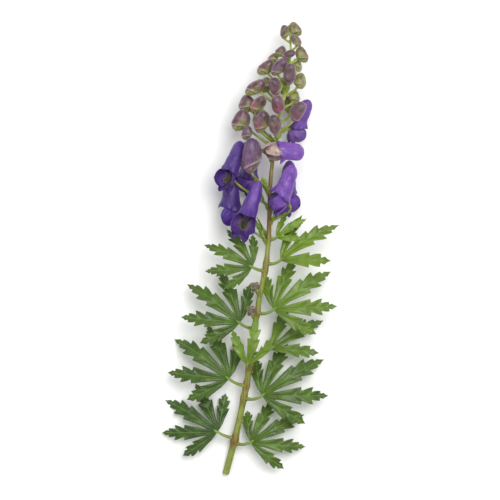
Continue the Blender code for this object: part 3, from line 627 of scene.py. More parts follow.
def vector_of(tree, x=0.0, y=0.0, z=0.0):
    return out_of(tree, "ShaderNodeCombineXYZ", {0: x, 1: y, 2: z})


def numbers_of(tree, vector):
    return add(tree, "ShaderNodeSeparateXYZ", {0: vector}).outputs


def own_place(tree):
    """The place of a point in its own piece, in metres."""
    return add(tree, "ShaderNodeTexCoord").outputs["Object"]


def cloud(tree, place, scale, detail, roughness=0.5):
    """Uneven values about 0.5 that change over the place."""
    inputs = {"Vector": place, "Scale": scale, "Detail": detail, "Roughness": roughness}
    return out_of(tree, "ShaderNodeTexNoise", inputs)


def soft_step(tree, value, low, high):
    """0 below low and 1 above high, with a smooth way between. High may be the lower one."""
    inputs = {"Value": value, "From Min": low, "From Max": high}
    return out_of(tree, "ShaderNodeMapRange", inputs, interpolation_type="SMOOTHSTEP")


# Shader groups that more than one finish uses


def mottle_group():
    """Soft uneven patches through the tissue, about 0 to 1."""
    group, given, result = new_group("mottle", "Value", {"Patch Size": 4.0, "Contrast": 1.0})
    scale = calc(group, "DIVIDE", 1000.0, given["Patch Size"])
    centred = calc(group, "SUBTRACT", cloud(group, own_place(group), scale, 4.0, 0.6), 0.5)
    spread = scaled(group, centred, given["Contrast"], 0.5)
    group.links.new(out_of(group, "ShaderNodeClamp", {"Value": spread}), result)
    return group


def fine_lines_group():
    """Fine veins that run along a petal: uneven lines across its UV, drawn out along it."""
    group, given, result = new_group("fine_lines", "Line", {"Count": 30.0, "Sharpness": 0.5})
    place = out_of(group, "ShaderNodeUVMap", uv_map="surface")
    across, along, _ = numbers_of(group, place)
    uneven_across = scaled(group, cloud(group, place, 5.0, 2.0), 0.05, across)
    drawn = vector_of(group, scaled(group, uneven_across, given["Count"]), scaled(group, along, 2.5))
    far = calc(group, "ABSOLUTE", calc(group, "SUBTRACT", cloud(group, drawn, 1.0, 3.0), 0.5))
    group.links.new(soft_step(group, far, scaled(group, given["Sharpness"], 0.14), 0.0), result)
    return group


MOTTLE = mottle_group()
FINE_LINES = fine_lines_group()


# Finishes


def mottle(tree, patch_size, contrast):
    return use(tree, MOTTLE, {"Patch Size": patch_size, "Contrast": contrast})


def finish_named(name, **settings):
    """A material with a Principled shader, whose even values are set on its own sockets."""
    material = bpy.data.materials.new(name)
    material.use_nodes = True
    tree = material.node_tree
    shader = tree.nodes["Principled BSDF"]
    for label, value in settings.items():
        shader.inputs[label.replace("_", " ").title().replace("Ior", "IOR")].default_value = value
    return material, tree, shader


def stored(tree, name):
    """A piece's own attribute, as a vector and as a single number."""
    return add(tree, "ShaderNodeAttribute", attribute_name=name, attribute_type="GEOMETRY").outputs


def attribute(tree, name):
    """The three numbers of a piece's own attribute, as sockets."""
    return numbers_of(tree, stored(tree, name)["Vector"])


def surfaced(tree, shader, colour, height, depth):
    """Gives the shader its colour, and fine relief of the given depth in millimetres."""
    rise = out_of(tree, "ShaderNodeBump", {"Height": height, "Distance": depth * MM, "Strength": 1.0})
    tree.links.new(colour, shader.inputs["Base Color"])
    tree.links.new(rise, shader.inputs["Normal"])


def petal_finish(name, deep, bright, pale):
    """Violet petal skin: deep or bright in soft random patches, paler at the claw, with a painted highlight
    on the hood's ridges and fine dark veins.

    The paint attribute holds how far out on the petal a point is, how near the rim, and how pale it is;
    on the hood that paleness includes a painted highlight along its ridges.
    The tone attribute holds how deep, how much painted light and how cream the whole petal is.
    """
    material, tree, shader = finish_named(
        name,
        roughness=0.40,
        sheen_weight=0.08,
        sheen_roughness=0.35,
        sheen_tint=(0.75, 0.55, 1.0, 1),
        subsurface_weight=0.12,
        subsurface_radius=(0.6, 0.2, 1.0),
        subsurface_scale=1.2 * MM,
    )
    _, rim, light = attribute(tree, "paint")
    depth, painted_light, cream = attribute(tree, "tone")
    patches = mottle(tree, 5.0, 2.2)
    veins = use(tree, FINE_LINES, {"Count": PETAL_VEINS, "Sharpness": 0.5})
    swell = scaled(tree, scaled(tree, patches, 0.8, 0.2), calc(tree, "SUBTRACT", 1.15, depth))
    # Painted light: the paleness adds the tone's painted light over the whole petal to the paint's real pale
    # claw, its random pale patches and its painted ridge highlight.
    paleness_and_painted_light = scaled(tree, light, calc(tree, "SUBTRACT", 1.0, scaled(tree, depth, 0.6)))
    paleness_and_painted_light = scaled(tree, painted_light, scaled(tree, patches, 0.6, 0.6), paleness_and_painted_light)
    colour = layered(
        tree,
        blend_colour(tree, limited(tree, swell), deep, bright),
        (limited(tree, paleness_and_painted_light), pale),
        (scaled(tree, cream, soft_step(tree, patches, 0.05, 0.55)), SEPAL_CREAM),
        (scaled(tree, rim, 0.5), blend_colour(tree, cream, deep, SEPAL_CREAM)),
        (scaled(tree, veins, 0.45), tuple(0.45 * c for c in deep)),
    )
    surfaced(tree, shader, colour, scaled(tree, veins, -0.8, mottle(tree, 0.5, 1.0)), SKIN_RELIEF)
    return material


def plain_finish(name, dark, light, patch_size, **settings):
    """A tissue of two near colours in soft patches, for small pieces."""
    material, tree, shader = finish_named(name, **settings)
    patches = mottle(tree, patch_size, 2.0)
    surfaced(tree, shader, blend_colour(tree, patches, dark, light), patches, FINE_RELIEF)
    return material


# The third colour of each is the pale one, for the real paler claw and for the painted highlight and painted
# light.
SEPAL_OUTSIDE = petal_finish(
    "violet_sepal", (0.024, 0.004, 0.125), (0.088, 0.017, 0.320), (0.290, 0.120, 0.520)
)
SEPAL_INSIDE = petal_finish(
    "violet_throat", (0.018, 0.003, 0.100), (0.085, 0.018, 0.320), (0.420, 0.260, 0.560)
)
RECEPTACLE_GREEN = plain_finish(
    "receptacle_green", (0.110, 0.150, 0.030), (0.230, 0.270, 0.070), 2.0, roughness=0.55
)
FLOWER_FINISHES = (SEPAL_OUTSIDE, SEPAL_INSIDE, RECEPTACLE_GREEN)
FILAMENT_PALE = plain_finish("pale_filament", (0.12, 0.08, 0.18), (0.30, 0.26, 0.32), 1.5, roughness=0.5)
ANTHER_OLIVE = plain_finish("olive_anther", (0.022, 0.022, 0.010), (0.120, 0.110, 0.026), 0.8, roughness=0.8)
POD_GREEN = plain_finish("pod_green", (0.100, 0.130, 0.030), (0.230, 0.250, 0.070), 1.5, roughness=0.5)
TUFT_FINISHES = (FILAMENT_PALE, ANTHER_OLIVE, POD_GREEN)


def net_group():
    """The fine net of veins between a leaf's side veins."""
    group, given, result = new_group("vein_net", "Line", {"Cell Size": 1.6})
    inputs = {"Vector": own_place(group), "Scale": calc(group, "DIVIDE", 1000.0, given["Cell Size"])}
    to_edge = out_of(group, "ShaderNodeTexVoronoi", inputs, feature="DISTANCE_TO_EDGE")
    group.links.new(soft_step(group, to_edge, 0.12, 0.0), result)
    return group


NET = net_group()


def leaf_finish(name, dark, light, young, vein, roughness):
    """Leaf skin.

    The paint attribute holds the distances from the rib and from the side vein in millimetres, and how
    young the leaf is.
    """
    material, tree, shader = finish_named(
        name,
        roughness=roughness,
        specular_ior_level=0.45,
        subsurface_weight=0.06,
        subsurface_radius=(0.4, 1.0, 0.1),
        subsurface_scale=0.8 * MM,
    )
    aside, off_vein, youth = attribute(tree, "paint")
    patches = mottle(tree, 11.0, 2.6)
    net = use(tree, NET)
    rib = scaled(tree, soft_step(tree, aside, 0.42, 0.10), 0.65)
    side = scaled(tree, soft_step(tree, off_vein, 0.30, 0.05), 0.32)
    fresh = out_of(tree, "ShaderNodeClamp", {"Value": scaled(tree, youth, scaled(tree, patches, 0.5, 0.6))})
    colour = layered(
        tree,
        blend_colour(tree, patches, dark, light),
        (fresh, young),
        (scaled(tree, net, 0.10), vein),
        (calc(tree, "MAXIMUM", rib, side), vein),
    )
    hollow = scaled(tree, net, -0.5, scaled(tree, side, -2.0))
    surfaced(tree, shader, colour, scaled(tree, rib, -1.0, hollow), SKIN_RELIEF)
    return material


LEAF_UPPER = leaf_finish(
    "leaf_upper",
    (0.010, 0.032, 0.002),
    (0.046, 0.110, 0.005),
    (0.175, 0.285, 0.016),
    (0.150, 0.250, 0.045),
    0.33,
)
LEAF_UNDER = leaf_finish(
    "leaf_underside",
    (0.090, 0.180, 0.030),
    (0.160, 0.280, 0.045),
    (0.260, 0.400, 0.060),
    (0.300, 0.420, 0.110),
    0.6,
)


def stalk_finish(name, greens, browns, streak_share):
    """Stalk skin: green with brown streaks along it, flushed red-brown where the flush attribute says.

    It turns a fresh yellow-green up among the flowers and buds.
    """
    material, tree, shader = finish_named(
        name, roughness=0.42, specular_ior_level=0.4, subsurface_weight=0.05, subsurface_scale=MM
    )
    place = own_place(tree)
    fresh = soft_step(tree, numbers_of(tree, place)[1], FRESH_FROM[0] * MM, FRESH_FROM[1] * MM)
    drawn = out_of(tree, "ShaderNodeMapping", {"Vector": place, "Scale": STREAK_SCALE})
    streaks = cloud(tree, drawn, 1.0, 3.0)
    patches = mottle(tree, 9.0, 2.0)
    share = scaled(tree, fresh, -0.7 * streak_share, streak_share)
    flush = stored(tree, "flush")["Fac"]
    colour = layered(
        tree,
        blend_colour(tree, patches, *greens),
        (fresh, blend_colour(tree, patches, FRESH_GREEN_DARK, FRESH_GREEN)),
        (scaled(tree, soft_step(tree, streaks, 0.50, 0.64), share), browns[0]),
        (scaled(tree, flush, soft_step(tree, streaks, 0.22, 0.55)), browns[1]),
    )
    surfaced(tree, shader, colour, streaks, FINE_RELIEF)
    return material


STEM_SKIN = stalk_finish(
    "stem_skin",
    ((0.150, 0.200, 0.030), (0.310, 0.365, 0.065)),
    ((0.140, 0.070, 0.020), (0.165, 0.055, 0.016)),
    0.7,
)
LEAF_RIB = stalk_finish(
    "leaf_rib",
    ((0.150, 0.260, 0.040), (0.250, 0.370, 0.080)),
    ((0.180, 0.120, 0.040), (0.130, 0.050, 0.022)),
    0.3,
)
CUT_PITH = plain_finish("cut_pith", (0.360, 0.400, 0.220), (0.520, 0.540, 0.330), 0.8, roughness=0.7)
LEAF_FINISHES = (LEAF_UPPER, LEAF_UNDER, LEAF_RIB)


def bud_finish(name):
    """Bud skin: a dusky mauve hood over green cheeks that turn pale and pink at the lips.

    Paint holds the hood, the height up the bud and the shade; sides how far back round the bud a point is,
    how near the lips and how near the hood's rim; tone how green, how pink and how violet the bud is.
    """
    material, tree, shader = finish_named(
        name,
        roughness=0.36,
        sheen_weight=0.45,
        sheen_roughness=0.35,
        sheen_tint=(1.0, 0.86, 0.86, 1),
        specular_ior_level=0.6,
        subsurface_weight=0.06,
        subsurface_scale=MM,
    )
    hooded, height, shade = attribute(tree, "paint")
    back, lips, rim = attribute(tree, "sides")
    green, pink, violet = attribute(tree, "tone")
    patches = mottle(tree, 4.5, 3.2)
    veins = use(tree, FINE_LINES, {"Count": BUD_VEINS, "Sharpness": 0.6})
    low = soft_step(tree, height, 0.75, 0.15)
    mauve = layered(
        tree,
        blend_colour(tree, patches, BUD_MAUVE_DARK, BUD_MAUVE),
        (violet, blend_colour(tree, patches, BUD_VIOLET_DARK, BUD_VIOLET)),
        (scaled(tree, pink, calc(tree, "MAXIMUM", low, lips)), BUD_PINK),
    )
    leafy = blend_colour(tree, patches, BUD_GREEN_DARK, BUD_GREEN)
    unviolet = calc(tree, "SUBTRACT", 1.0, violet)
    blotched = scaled(tree, green, scaled(tree, patches, 0.7, 0.5))
    inner = scaled(tree, soft_step(tree, back, 0.30, 0.75), soft_step(tree, height, 0.85, 0.30))
    hood_green = limited(tree, scaled(tree, scaled(tree, inner, 0.95, blotched), unviolet))
    hood = blend_colour(tree, hood_green, mauve, leafy)
    belly = scaled(tree, soft_step(tree, back, 0.22, 0.50), unviolet)
    cheek = blend_colour(tree, calc(tree, "MAXIMUM", belly, blotched), mauve, leafy)
    colour = layered(
        tree,
        cheek,
        (scaled(tree, lips, 0.35), blend_colour(tree, pink, BUD_LIP_PALE, BUD_LIP_PINK)),
        (hooded, hood),
        (scaled(tree, rim, 0.60), BUD_RIM),
        (scaled(tree, veins, 0.45), BUD_SHADE),
        (scaled(tree, shade, 0.8), BUD_SHADE),
    )
    surfaced(tree, shader, colour, scaled(tree, veins, -0.6, patches), SKIN_RELIEF)
    return material


BUD_SKIN = bud_finish("bud_skin")
DOWN_HAIR = plain_finish("down_hair", (0.28, 0.20, 0.21), (0.44, 0.36, 0.34), 3.0, roughness=0.6)
BUD_FINISHES = (BUD_SKIN, DOWN_HAIR)
CLUSTER_FINISHES = (*BUD_FINISHES, STEM_SKIN)
STEM_FINISHES = (*LEAF_FINISHES, STEM_SKIN, CUT_PITH, DOWN_HAIR)


# Open flowers, built with the receptacle at the origin, the hood along +Z and the face along +Y


def uneven(place, size, seed):
    """A smooth random number from about -1 to 1 that changes over the given size in millimetres."""
    return noise.noise(Vector(place) / size + Vector((seed * 17.3, seed * 5.1, -seed * 9.7)))


def hood_share(around, down):
    """How far down the hood a point is, from its top to the foot of its back."""
    return down**DOME_CROWDING * (1 - HEM_RISE * (1 + math.cos(around)) / 2)


def at_dome(pair, plump, share):
    """A size of the hood between its dome, which may be plumper, and its hem."""
    dome, hem = pair
    return mix(dome * plump, hem, share)


def hood_point(flower, around, down, seed):
    share = hood_share(around, down)
    dome = min(share / DOME_SHARE, 1.0)
    swell = math.sqrt(dome * (2 - dome))
    front = max(math.cos(around), 0.0)
    low = down**DOME_CROWDING
    hollow = BROW_HOLLOW * front * math.sin(math.pi * low)
    depth = at_dome(HOOD_HALF_DEPTH, flower.plump, share) * (1 - hollow)
    beak = BEAK_LENGTH * bump(around, 0, BEAK_SPREAD) * rise_from(BEAK_FROM, low)
    hem = rise_from(HEM_FROM, low)
    ruffle = HEM_RUFFLE * math.sin(HEM_RUFFLES * around + seed * 2.0) * hem
    flare = HEM_FLARE * hem * hem + ruffle
    keel = KEEL_HEIGHT * bump(math.pi - abs(around), 0, KEEL_SPREAD) * smooth(dome)
    wide = at_dome(HOOD_HALF_WIDTH, flower.plump, smooth(share)) * swell + flare
    deep = depth * swell + flare + keel
    middle = at_dome(HOOD_CENTRE, flower.plump, share)
    height = HOOD_HEIGHT * flower.stretch * (1 - share) - beak * BEAK_DROP + ruffle * 0.5
    point = Vector((wide * math.sin(around), middle + deep * math.cos(around) + beak, height))
    dent = sum(depth * uneven(point, size, seed + shift) for size, depth, shift in HOOD_DENTS)
    return point + Vector((math.sin(around), math.cos(around), 0)) * dent * swell


def hood_paint(around, down, seed):
    low = down**DOME_CROWDING
    rim = rise_from(0.86, low)
    # Painted highlight: ridge_highlight is a paler band down the hood's front crest and, fainter, down its
    # back. The third number returned adds it to the real paler claw and to random pale patches that are
    # stronger towards the top.
    ridge_highlight = bump(math.pi - abs(around), 0, 0.5) * 0.30 + bump(around, 0, 0.45) * 0.60
    claw = 0.5 * bump(abs(around), math.pi, 0.5) * rise_from(0.7, low)
    swell = 0.35 * smooth(0.5 + uneven((4 * math.sin(around), 3 * low, 0), 1.5, seed)) * (1 - low * 0.5)
    return low, rim, min(1.0, ridge_highlight * (1 - low) + claw + swell)


def hood(flower, seed):
    """The helmet: a dome whose lower rim slants from the receptacle up to the beak."""

    def point_at(across, down):
        return hood_point(flower, (across * 2 - 1) * math.pi, down, seed)

    def paint_at(across, down):
        return hood_paint((across * 2 - 1) * math.pi, down, seed)

    return walled(sheet(point_at, shares(HOOD_ROWS), shares(HOOD_COLUMNS), paint_at), PETAL_THICKNESS)


def petal_half_width(share, widest):
    if share < PETAL_WIDEST_AT:
        return mix(PETAL_BASE_HALF_WIDTH, widest, math.sin(share / PETAL_WIDEST_AT * math.pi / 2))
    return widest * math.sqrt(max(0.0, 1 - ((share - PETAL_WIDEST_AT) / (1 - PETAL_WIDEST_AT)) ** 2))


def petal(shape, side, across_way, out, seed):
    """A petal from its narrow base, cupped, with a ruffled edge and a crease along its middle."""
    base = mirrored(shape.base, side)
    way = mirrored(shape.way, side).normalized()

    def point_at(across, along):
        side_share = across * 2 - 1
        width = petal_half_width(along, shape.half_width)
        bend = shape.cup * (
            math.sin(along * math.pi) * PETAL_BELLY - side_share**2 * width / shape.half_width
        )
        edge = max(abs(side_share) ** 3, rise_from(0.7, along)) * smooth(along / 0.3)
        ruffle = shape.ruffle * math.sin(9 * along + 4 * side_share + seed * 1.7) * edge
        crease = -0.3 * bump(side_share * width, 0, 0.7) * math.sin(along * math.pi)
        flat = base + way * shape.length * along + across_way * width * side_share
        dent = uneven(flat, 4.5, seed) * 0.55 * smooth(along / 0.3)
        return flat + out * (bend + ruffle + crease + dent)

    def paint_at(across, along):
        side_share = across * 2 - 1
        rim = max(abs(side_share) ** 6, rise_from(0.88, along))
        pale = 0.95 * (1 - smooth(along / 0.52)) + 0.45 * bump(side_share, 0, 0.35) * (1 - along)
        return along, rim, min(1.0, pale)

    rows = [1 - (1 - k) ** 1.5 for k in shares(PETAL_ROWS)]
    return walled(sheet(point_at, rows, shares(PETAL_COLUMNS), paint_at), PETAL_THICKNESS)


def side_sepal(side, seed):
    way = mirrored(SIDE_SEPAL.way, side).normalized()
    out = mirrored(SIDE_SEPAL.out, side).normalized()
    return petal(SIDE_SEPAL, side, way.cross(out).normalized(), out, seed + side)


def lower_sepal(side, seed):
    way = mirrored(LOWER_SEPAL.way, side).normalized()
    across = Vector((1, 0, side * LOWER_SEPAL_TURN)).normalized()
    return petal(LOWER_SEPAL, side, -across, way.cross(across).normalized(), seed + 5 + side)


def receptacle():
    """The green knob that carries the petals."""
    mesh = bpy.data.meshes.new("receptacle")
    with edited(mesh) as bm:
        bmesh.ops.create_uvsphere(bm, u_segments=20, v_segments=12, radius=RECEPTACLE_RADIUS * MM)
    return set_material(in_scene("receptacle", mesh), RECEPTACLE_GREEN, FLOWER_FINISHES)


def flower_matrix(flower):
    size = Matrix.Diagonal((flower.scale,) * 3).to_4x4()
    return Matrix.Translation(flower.place) @ axes_of(flower.hood, flower.face) @ size


def open_flower(name, flower, seed):
    depth, painted_light, cream = flower.tone
    petals = [toned(hood(flower, seed), (depth, painted_light, 0.0))]
    for side in (-1, 1):
        for sepal in (side_sepal, lower_sepal):
            petals.append(toned(sepal(side, seed), (depth * SIDE_SEPAL_DEPTH, painted_light, cream)))
    pieces = [baked(with_materials(piece, FLOWER_FINISHES)) for piece in petals] + [receptacle()]
    made = joined(pieces, name + "_petals", FLOWER_FINISHES, flower_matrix(flower))
    return settle(made, "sepals", name)


# Swept stems: a tube of changing radius along each line

Line = namedtuple("Line", "points radii flush", defaults=(None,))


def named_number(tree, name):
    return out_of(tree, "GeometryNodeInputNamedAttribute", {"Name": name}, data_type="FLOAT")


def random_number(tree, low, high, seed):
    inputs = {2: low, 3: high, "Seed": seed}
    return add(tree, "FunctionNodeRandomValue", inputs, data_type="FLOAT").outputs[1]


def circle(tree, sides, radius):
    return out_of(tree, "GeometryNodeCurvePrimitiveCircle", {"Resolution": sides, "Radius": radius})


def tube(tree, curve, section, thickness):
    """A closed tube of changing thickness along a curve."""
    inputs = {"Curve": curve, "Profile Curve": section, "Scale": thickness, "Fill Caps": True}
    return out_of(tree, "GeometryNodeCurveToMesh", inputs)


def placed(tree, spots, shape, turn, size):
    """The shape at each spot."""
    inputs = {"Points": spots, "Instance": shape, "Rotation": turn, "Scale": size}
    return out_of(tree, "GeometryNodeInstanceOnPoints", inputs)


def made_real(tree, shape, material):
    real = out_of(tree, "GeometryNodeRealizeInstances", {"Geometry": shape})
    return out_of(tree, "GeometryNodeSetMaterial", {"Geometry": real, "Material": material})


def swept_tree():
    """Sweeps a round section along lines whose points hold a radius, with shallow ridges along the tube."""
    inputs = {"Lines": GEOMETRY, "Sides": 12, "Ridges": 5.0, "Ridge Depth": 0.0, "Material": MATERIAL}
    tree, given, result = shape_tree("swept_tubes", "Tubes", inputs)
    radius = named_number(tree, "thickness")
    curves = out_of(tree, "GeometryNodeMeshToCurve", {"Mesh": given["Lines"]})
    around = out_of(tree, "GeometryNodeSplineParameter")
    inputs = {"Geometry": circle(tree, given["Sides"], 1.0), "Name": "around", "Value": around}
    section = out_of(tree, "GeometryNodeStoreNamedAttribute", inputs, data_type="FLOAT", domain="POINT")
    turn = scaled(tree, scaled(tree, named_number(tree, "around"), given["Ridges"]), math.tau)
    depth = scaled(tree, scaled(tree, radius, given["Ridge Depth"]), calc(tree, "COSINE", turn))
    normal = out_of(tree, "GeometryNodeInputNormal")
    offset = out_of(tree, "ShaderNodeVectorMath", {0: normal, "Scale": depth}, operation="SCALE")
    inputs = {"Geometry": tube(tree, curves, section, radius), "Offset": offset}
    ridged = out_of(tree, "GeometryNodeSetPosition", inputs)
    tree.links.new(made_real(tree, ridged, given["Material"]), result)
    return tree


def made_by(tree, guide, **inputs):
    """The plain mesh object that a node tree makes from a guide mesh, which it takes the place of."""
    modifier = guide.modifiers.new("made", "NODES")
    modifier.node_group = tree
    for socket in tree.interface.items_tree:
        if socket.item_type == "SOCKET" and socket.in_out == "INPUT" and socket.name in inputs:
            value = inputs[socket.name]
            modifier[socket.identifier] = float(value) if socket.socket_type == "NodeSocketFloat" else value
    return baked(guide)


def lines_guide(lines):
    """Lines in millimetres as edges. Each point has its radius and how flushed with red-brown it is."""
    points, edges, radii, flushes = [], [], [], []
    for line in lines:
        first = len(points)
        points.extend(Vector(point) * MM for point in line.points)
        radii.extend(radius * MM for radius in line.radii)
        flushes.extend(line.flush or [0.0] * len(line.points))
        edges.extend((first + k, first + k + 1) for k in range(len(line.points) - 1))
    mesh = bpy.data.meshes.new("lines")
    mesh.from_pydata(points, edges, [])
    mesh.attributes.new("thickness", "FLOAT", "POINT").data.foreach_set("value", radii)
    mesh.attributes.new("flush", "FLOAT", "POINT").data.foreach_set("value", flushes)
    return in_scene("lines", mesh)


SWEPT_TUBES = swept_tree()


def tubes(lines, material, materials, section):
    """Closed tubes along the lines, with one material of a list."""
    inputs = {"Sides": section.sides, "Ridges": section.ridges, "Ridge Depth": section.depth}
    made = made_by(SWEPT_TUBES, lines_guide(lines), Material=material, **inputs)
    with edited(made.data) as bm:
        bmesh.ops.recalc_face_normals(bm, faces=bm.faces)
    return set_material(made, material, materials)


def rounded_line(points, steps):
    """Points on a curve that runs smoothly through the given ones."""
    line = [Vector(p) for p in points]
    line = [2 * line[0] - line[1], *line, 2 * line[-1] - line[-2]]
    found = []
    for i in range(1, len(line) - 2):
        before, start, end, after = line[i - 1 : i + 3]
        for k in range(steps):
            t = k / steps
            bend = (2 * before - 5 * start + 4 * end - after) * t**2
            twist = (3 * start - before - 3 * end + after) * t**3
            found.append(0.5 * (2 * start + (end - before) * t + bend + twist))
    found.append(line[-2])
    return found


STEM_CURVE = np.array(rounded_line(STEM_LINE, 8))


def stem_point(height):
    x, y, z = STEM_CURVE.T
    return Vector((float(np.interp(height, y, x)), height, float(np.interp(height, y, z))))


def stem_way(height):
    return (stem_point(height + 2) - stem_point(height - 2)).normalized()


def stem_radius(height):
    """The stem's radius, a little thicker at each leaf's joint."""
    radius = table_value(STEM_RADII, height)
    for leaf in LEAVES:
        radius += JOINT_SWELL * bump(height, leaf.height, JOINT_LENGTH)
    return radius


def away_from_stem(point):
    stem = stem_point(point.y)
    return Vector((point.x - stem.x, 0, point.z - stem.z)).normalized()


# Leaves


def tooth_start(tooth, teeth):
    """Where on a lobe's edge a tooth's stretch begins. The first one is long, with no notch before it."""
    if tooth == 0:
        return 0.0
    if tooth == teeth:
        return 1.0
    return mix(FIRST_TOOTH_SHARE, 1.0, (tooth - 1) / (teeth - 1))


def tooth_crest(tooth, teeth):
    """Where a tooth is widest. The last one is the lobe's lance-shaped tip."""
    if tooth == teeth - 1:
        crest = TIP_CREST
    else:
        crest = FIRST_TOOTH_CREST if tooth == 0 else TOOTH_CREST
    return mix(tooth_start(tooth, teeth), tooth_start(tooth + 1, teeth), crest)


def edge_rows(teeth):
    """Rows along a lobe: the share of its length, how deep in a notch it is, and its tooth's widest place."""
    rows = [(0.0, 0.0, tooth_crest(0, teeth))]
    for tooth in range(teeth):
        start, end = tooth_start(tooth, teeth), tooth_start(tooth + 1, teeth)
        crest = tooth_crest(tooth, teeth)
        for k in range(1, CREST_ROWS + 1):
            rise = k / CREST_ROWS
            rows.append((mix(start, crest, rise), 0.0 if tooth == 0 else (1 - rise) ** 1.25, crest))
        for k in range(1, NOTCH_ROWS + 1):
            fall = k / NOTCH_ROWS
            rows.append((mix(crest, end, fall), fall if tooth == teeth - 1 else 1 - (1 - fall) ** 1.3, crest))
    return rows


def lobe_width(share, notched, web_width, full_width):
    """Half the lobe's width at a share of its edge, narrower the deeper the edge is in a notch."""
    if share < LOBE_WIDEST_AT:
        width = mix(web_width, full_width, smooth(share / LOBE_WIDEST_AT))
    else:
        width = full_width * (1 - ((share - LOBE_WIDEST_AT) / (1 - LOBE_WIDEST_AT)) ** LOBE_TAPER)
    return width * (1 - mix(TOOTH_DEPTH, TIP_TOOTH_DEPTH, share) * notched)


# A point of a flat leaf: its place, its distance from the nearest rib, the share across to the edge, and
# its distance along the rib from the nearest side vein
FlatPoint = namedtuple("FlatPoint", "place aside across off_vein")


def lobe_rows(shape, length, number):
    """Rows of flat points across one lobe, from the foot of the blade to the lobe's tip."""
    half_angle = math.radians(shape.spacing / 2)
    web = shape.web * length
    web_width = web * math.sin(half_angle)
    rib_start = web * math.cos(half_angle) - TOOTH_LEAN * web_width
    reach, teeth = shape.lengths[number], shape.teeth[number]
    full_width = shape.width_share * length * mix(reach, 1.0, LOBE_WIDTH_EVENNESS)
    angle = math.radians(shape.spacing) * (number - (len(shape.lengths) - 1) / 2)
    ahead = Vector((math.sin(angle), math.cos(angle), 0))
    aside = Vector((math.cos(angle), -math.sin(angle), 0))
    lines = [(rib_start * k / WEB_ROWS, web_width * k / WEB_ROWS, VEIN_FAR) for k in range(WEB_ROWS)]
    for share, notched, crest in edge_rows(teeth):
        width = lobe_width(share, notched, web_width, full_width)
        off_vein = abs(share - crest) * (length * reach - rib_start)
        lines.append((mix(rib_start, length * reach, share), width, off_vein))
    rows = []
    for rib, width, off_vein in lines:
        row = []
        for column in range(-LOBE_COLUMNS, LOBE_COLUMNS + 1):
            across = column / LOBE_COLUMNS
            out = width * abs(across)
            place = ahead * (rib + TOOTH_LEAN * out) + aside * width * across
            row.append(FlatPoint(place, out, across, off_vein))
        rows.append(row)
    return rows


def bent(flat, blade, seed):
    """A flat point bent down along the blade, folded up from its rib and quilted between the veins."""
    reach = flat.place.length
    turn = math.radians(blade.arch) / blade.length
    level = math.sin(turn * reach) / turn
    drop = (1 - math.cos(turn * reach)) / turn
    way = flat.place.normalized() if reach > 0 else flat.place
    along, across = LEAF_WAVE_TURNS
    wave = LEAF_WAVE * math.sin(along * reach / blade.length + across * way.x) * reach / blade.length
    inner = abs(flat.across) * (1 - abs(flat.across)) * 4
    quilt = LEAF_QUILTING * (smooth(flat.off_vein / VEIN_FAR) - 0.5) * inner
    crinkle = LEAF_CRINKLE * uneven(flat.place, LEAF_CRINKLE_SIZE, seed) * smooth(reach / blade.length * 3)
    fold_up = blade.fold * (math.hypot(flat.aside, RIB_HOLLOW) - RIB_HOLLOW)
    return Vector((way.x * level, way.y * level, fold_up + wave - drop + quilt + crinkle))


def above_floor(point):
    """The point, pressed up softly where it would come too near to the surface."""
    over = (point.z - FLOOR_CLEARANCE) / FLOOR_SOFTNESS
    lifted = FLOOR_CLEARANCE + FLOOR_SOFTNESS * (math.log1p(math.exp(-abs(over))) + max(over, 0.0))
    return Vector((point.x, point.y, lifted))


def leaf_turn(way, face):
    """A turn whose Y runs along the blade and whose Z is its upper side."""
    ahead = Vector(way).normalized()
    upper = Vector(face)
    upper = (upper - ahead * upper.dot(ahead)).normalized()
    return Matrix((ahead.cross(upper), ahead, upper)).transposed()


def blade_pieces(blade, turn, origin, seed):
    """The blade of a leaf as a thin wall, and the ribs and veins that stand out under it."""

    def place(flat):
        return above_floor(origin + turn @ bent(flat, blade, seed))

    sheets, rib_lines = [], []
    for number, teeth in enumerate(blade.shape.teeth):
        rows = lobe_rows(blade.shape, blade.length, number)
        sheets.append(lobe_mesh(rows, place, blade.young))
        rib_lines.extend(vein_lines(rows, place, turn, teeth))
    wall = gathered(sheets, "blade", LEAF_FINISHES)
    weld(wall.data)
    return [baked(walled(wall, BLADE_THICKNESS)), tubes(rib_lines, LEAF_RIB, LEAF_FINISHES, VEIN_SECTION)]


def lobe_mesh(rows, place, young):
    """One lobe as quads, with its paint as leaf_finish reads it."""
    mesh = quads("lobe", [[place(flat) for flat in row] for row in rows])
    store_points(mesh, "paint", [(flat.aside, flat.off_vein, young) for row in rows for flat in row])
    return in_scene("lobe", mesh)


def vein_lines(rows, place, turn, teeth):
    """The lobe's rib and the side vein to each tooth, as lines with radii just under the blade."""
    below = turn @ Vector((0, 0, -1)) * RIB_DEPTH

    def line_under(flats, radii):
        last = len(flats) - 1
        thickness = [mix(*radii, k / last) for k in range(last + 1)]
        return Line([place(flat) + below * r for flat, r in zip(flats, thickness)], thickness)

    middle = LOBE_COLUMNS
    lines = [line_under([row[middle] for row in rows[1:]], LEAF_RIB_RADII)]
    for tooth in range(teeth - 1):
        crest_row = rows[WEB_ROWS + tooth * (CREST_ROWS + NOTCH_ROWS) + CREST_ROWS]
        for side in (-1, 1):
            vein = [crest_row[middle + side * k] for k in range(LOBE_COLUMNS)]
            lines.append(line_under(vein, LEAF_VEIN_RADII))
    return lines


def stalk_line(start, start_way, end, end_way):
    """A smooth line that leaves the start and comes into the end along the given ways."""
    reach = (end - start).length * STALK_PULL
    return interpolate_bezier(start, start + start_way * reach, end - end_way * reach, end, STALK_POINTS)


def radii_along(table, count=STALK_POINTS):
    return [table_value(table, k / (count - 1)) for k in range(count)]


def foot_on_stem(grown):
    """Where a leaf's or cluster's stalk leaves the stem, and the way out there."""
    way = stem_way(grown.height)
    out = Vector(grown.out)
    out = (out - way * out.dot(way)).normalized()
    return stem_point(grown.height) + out * (stem_radius(grown.height) + SEAT_GAP), out


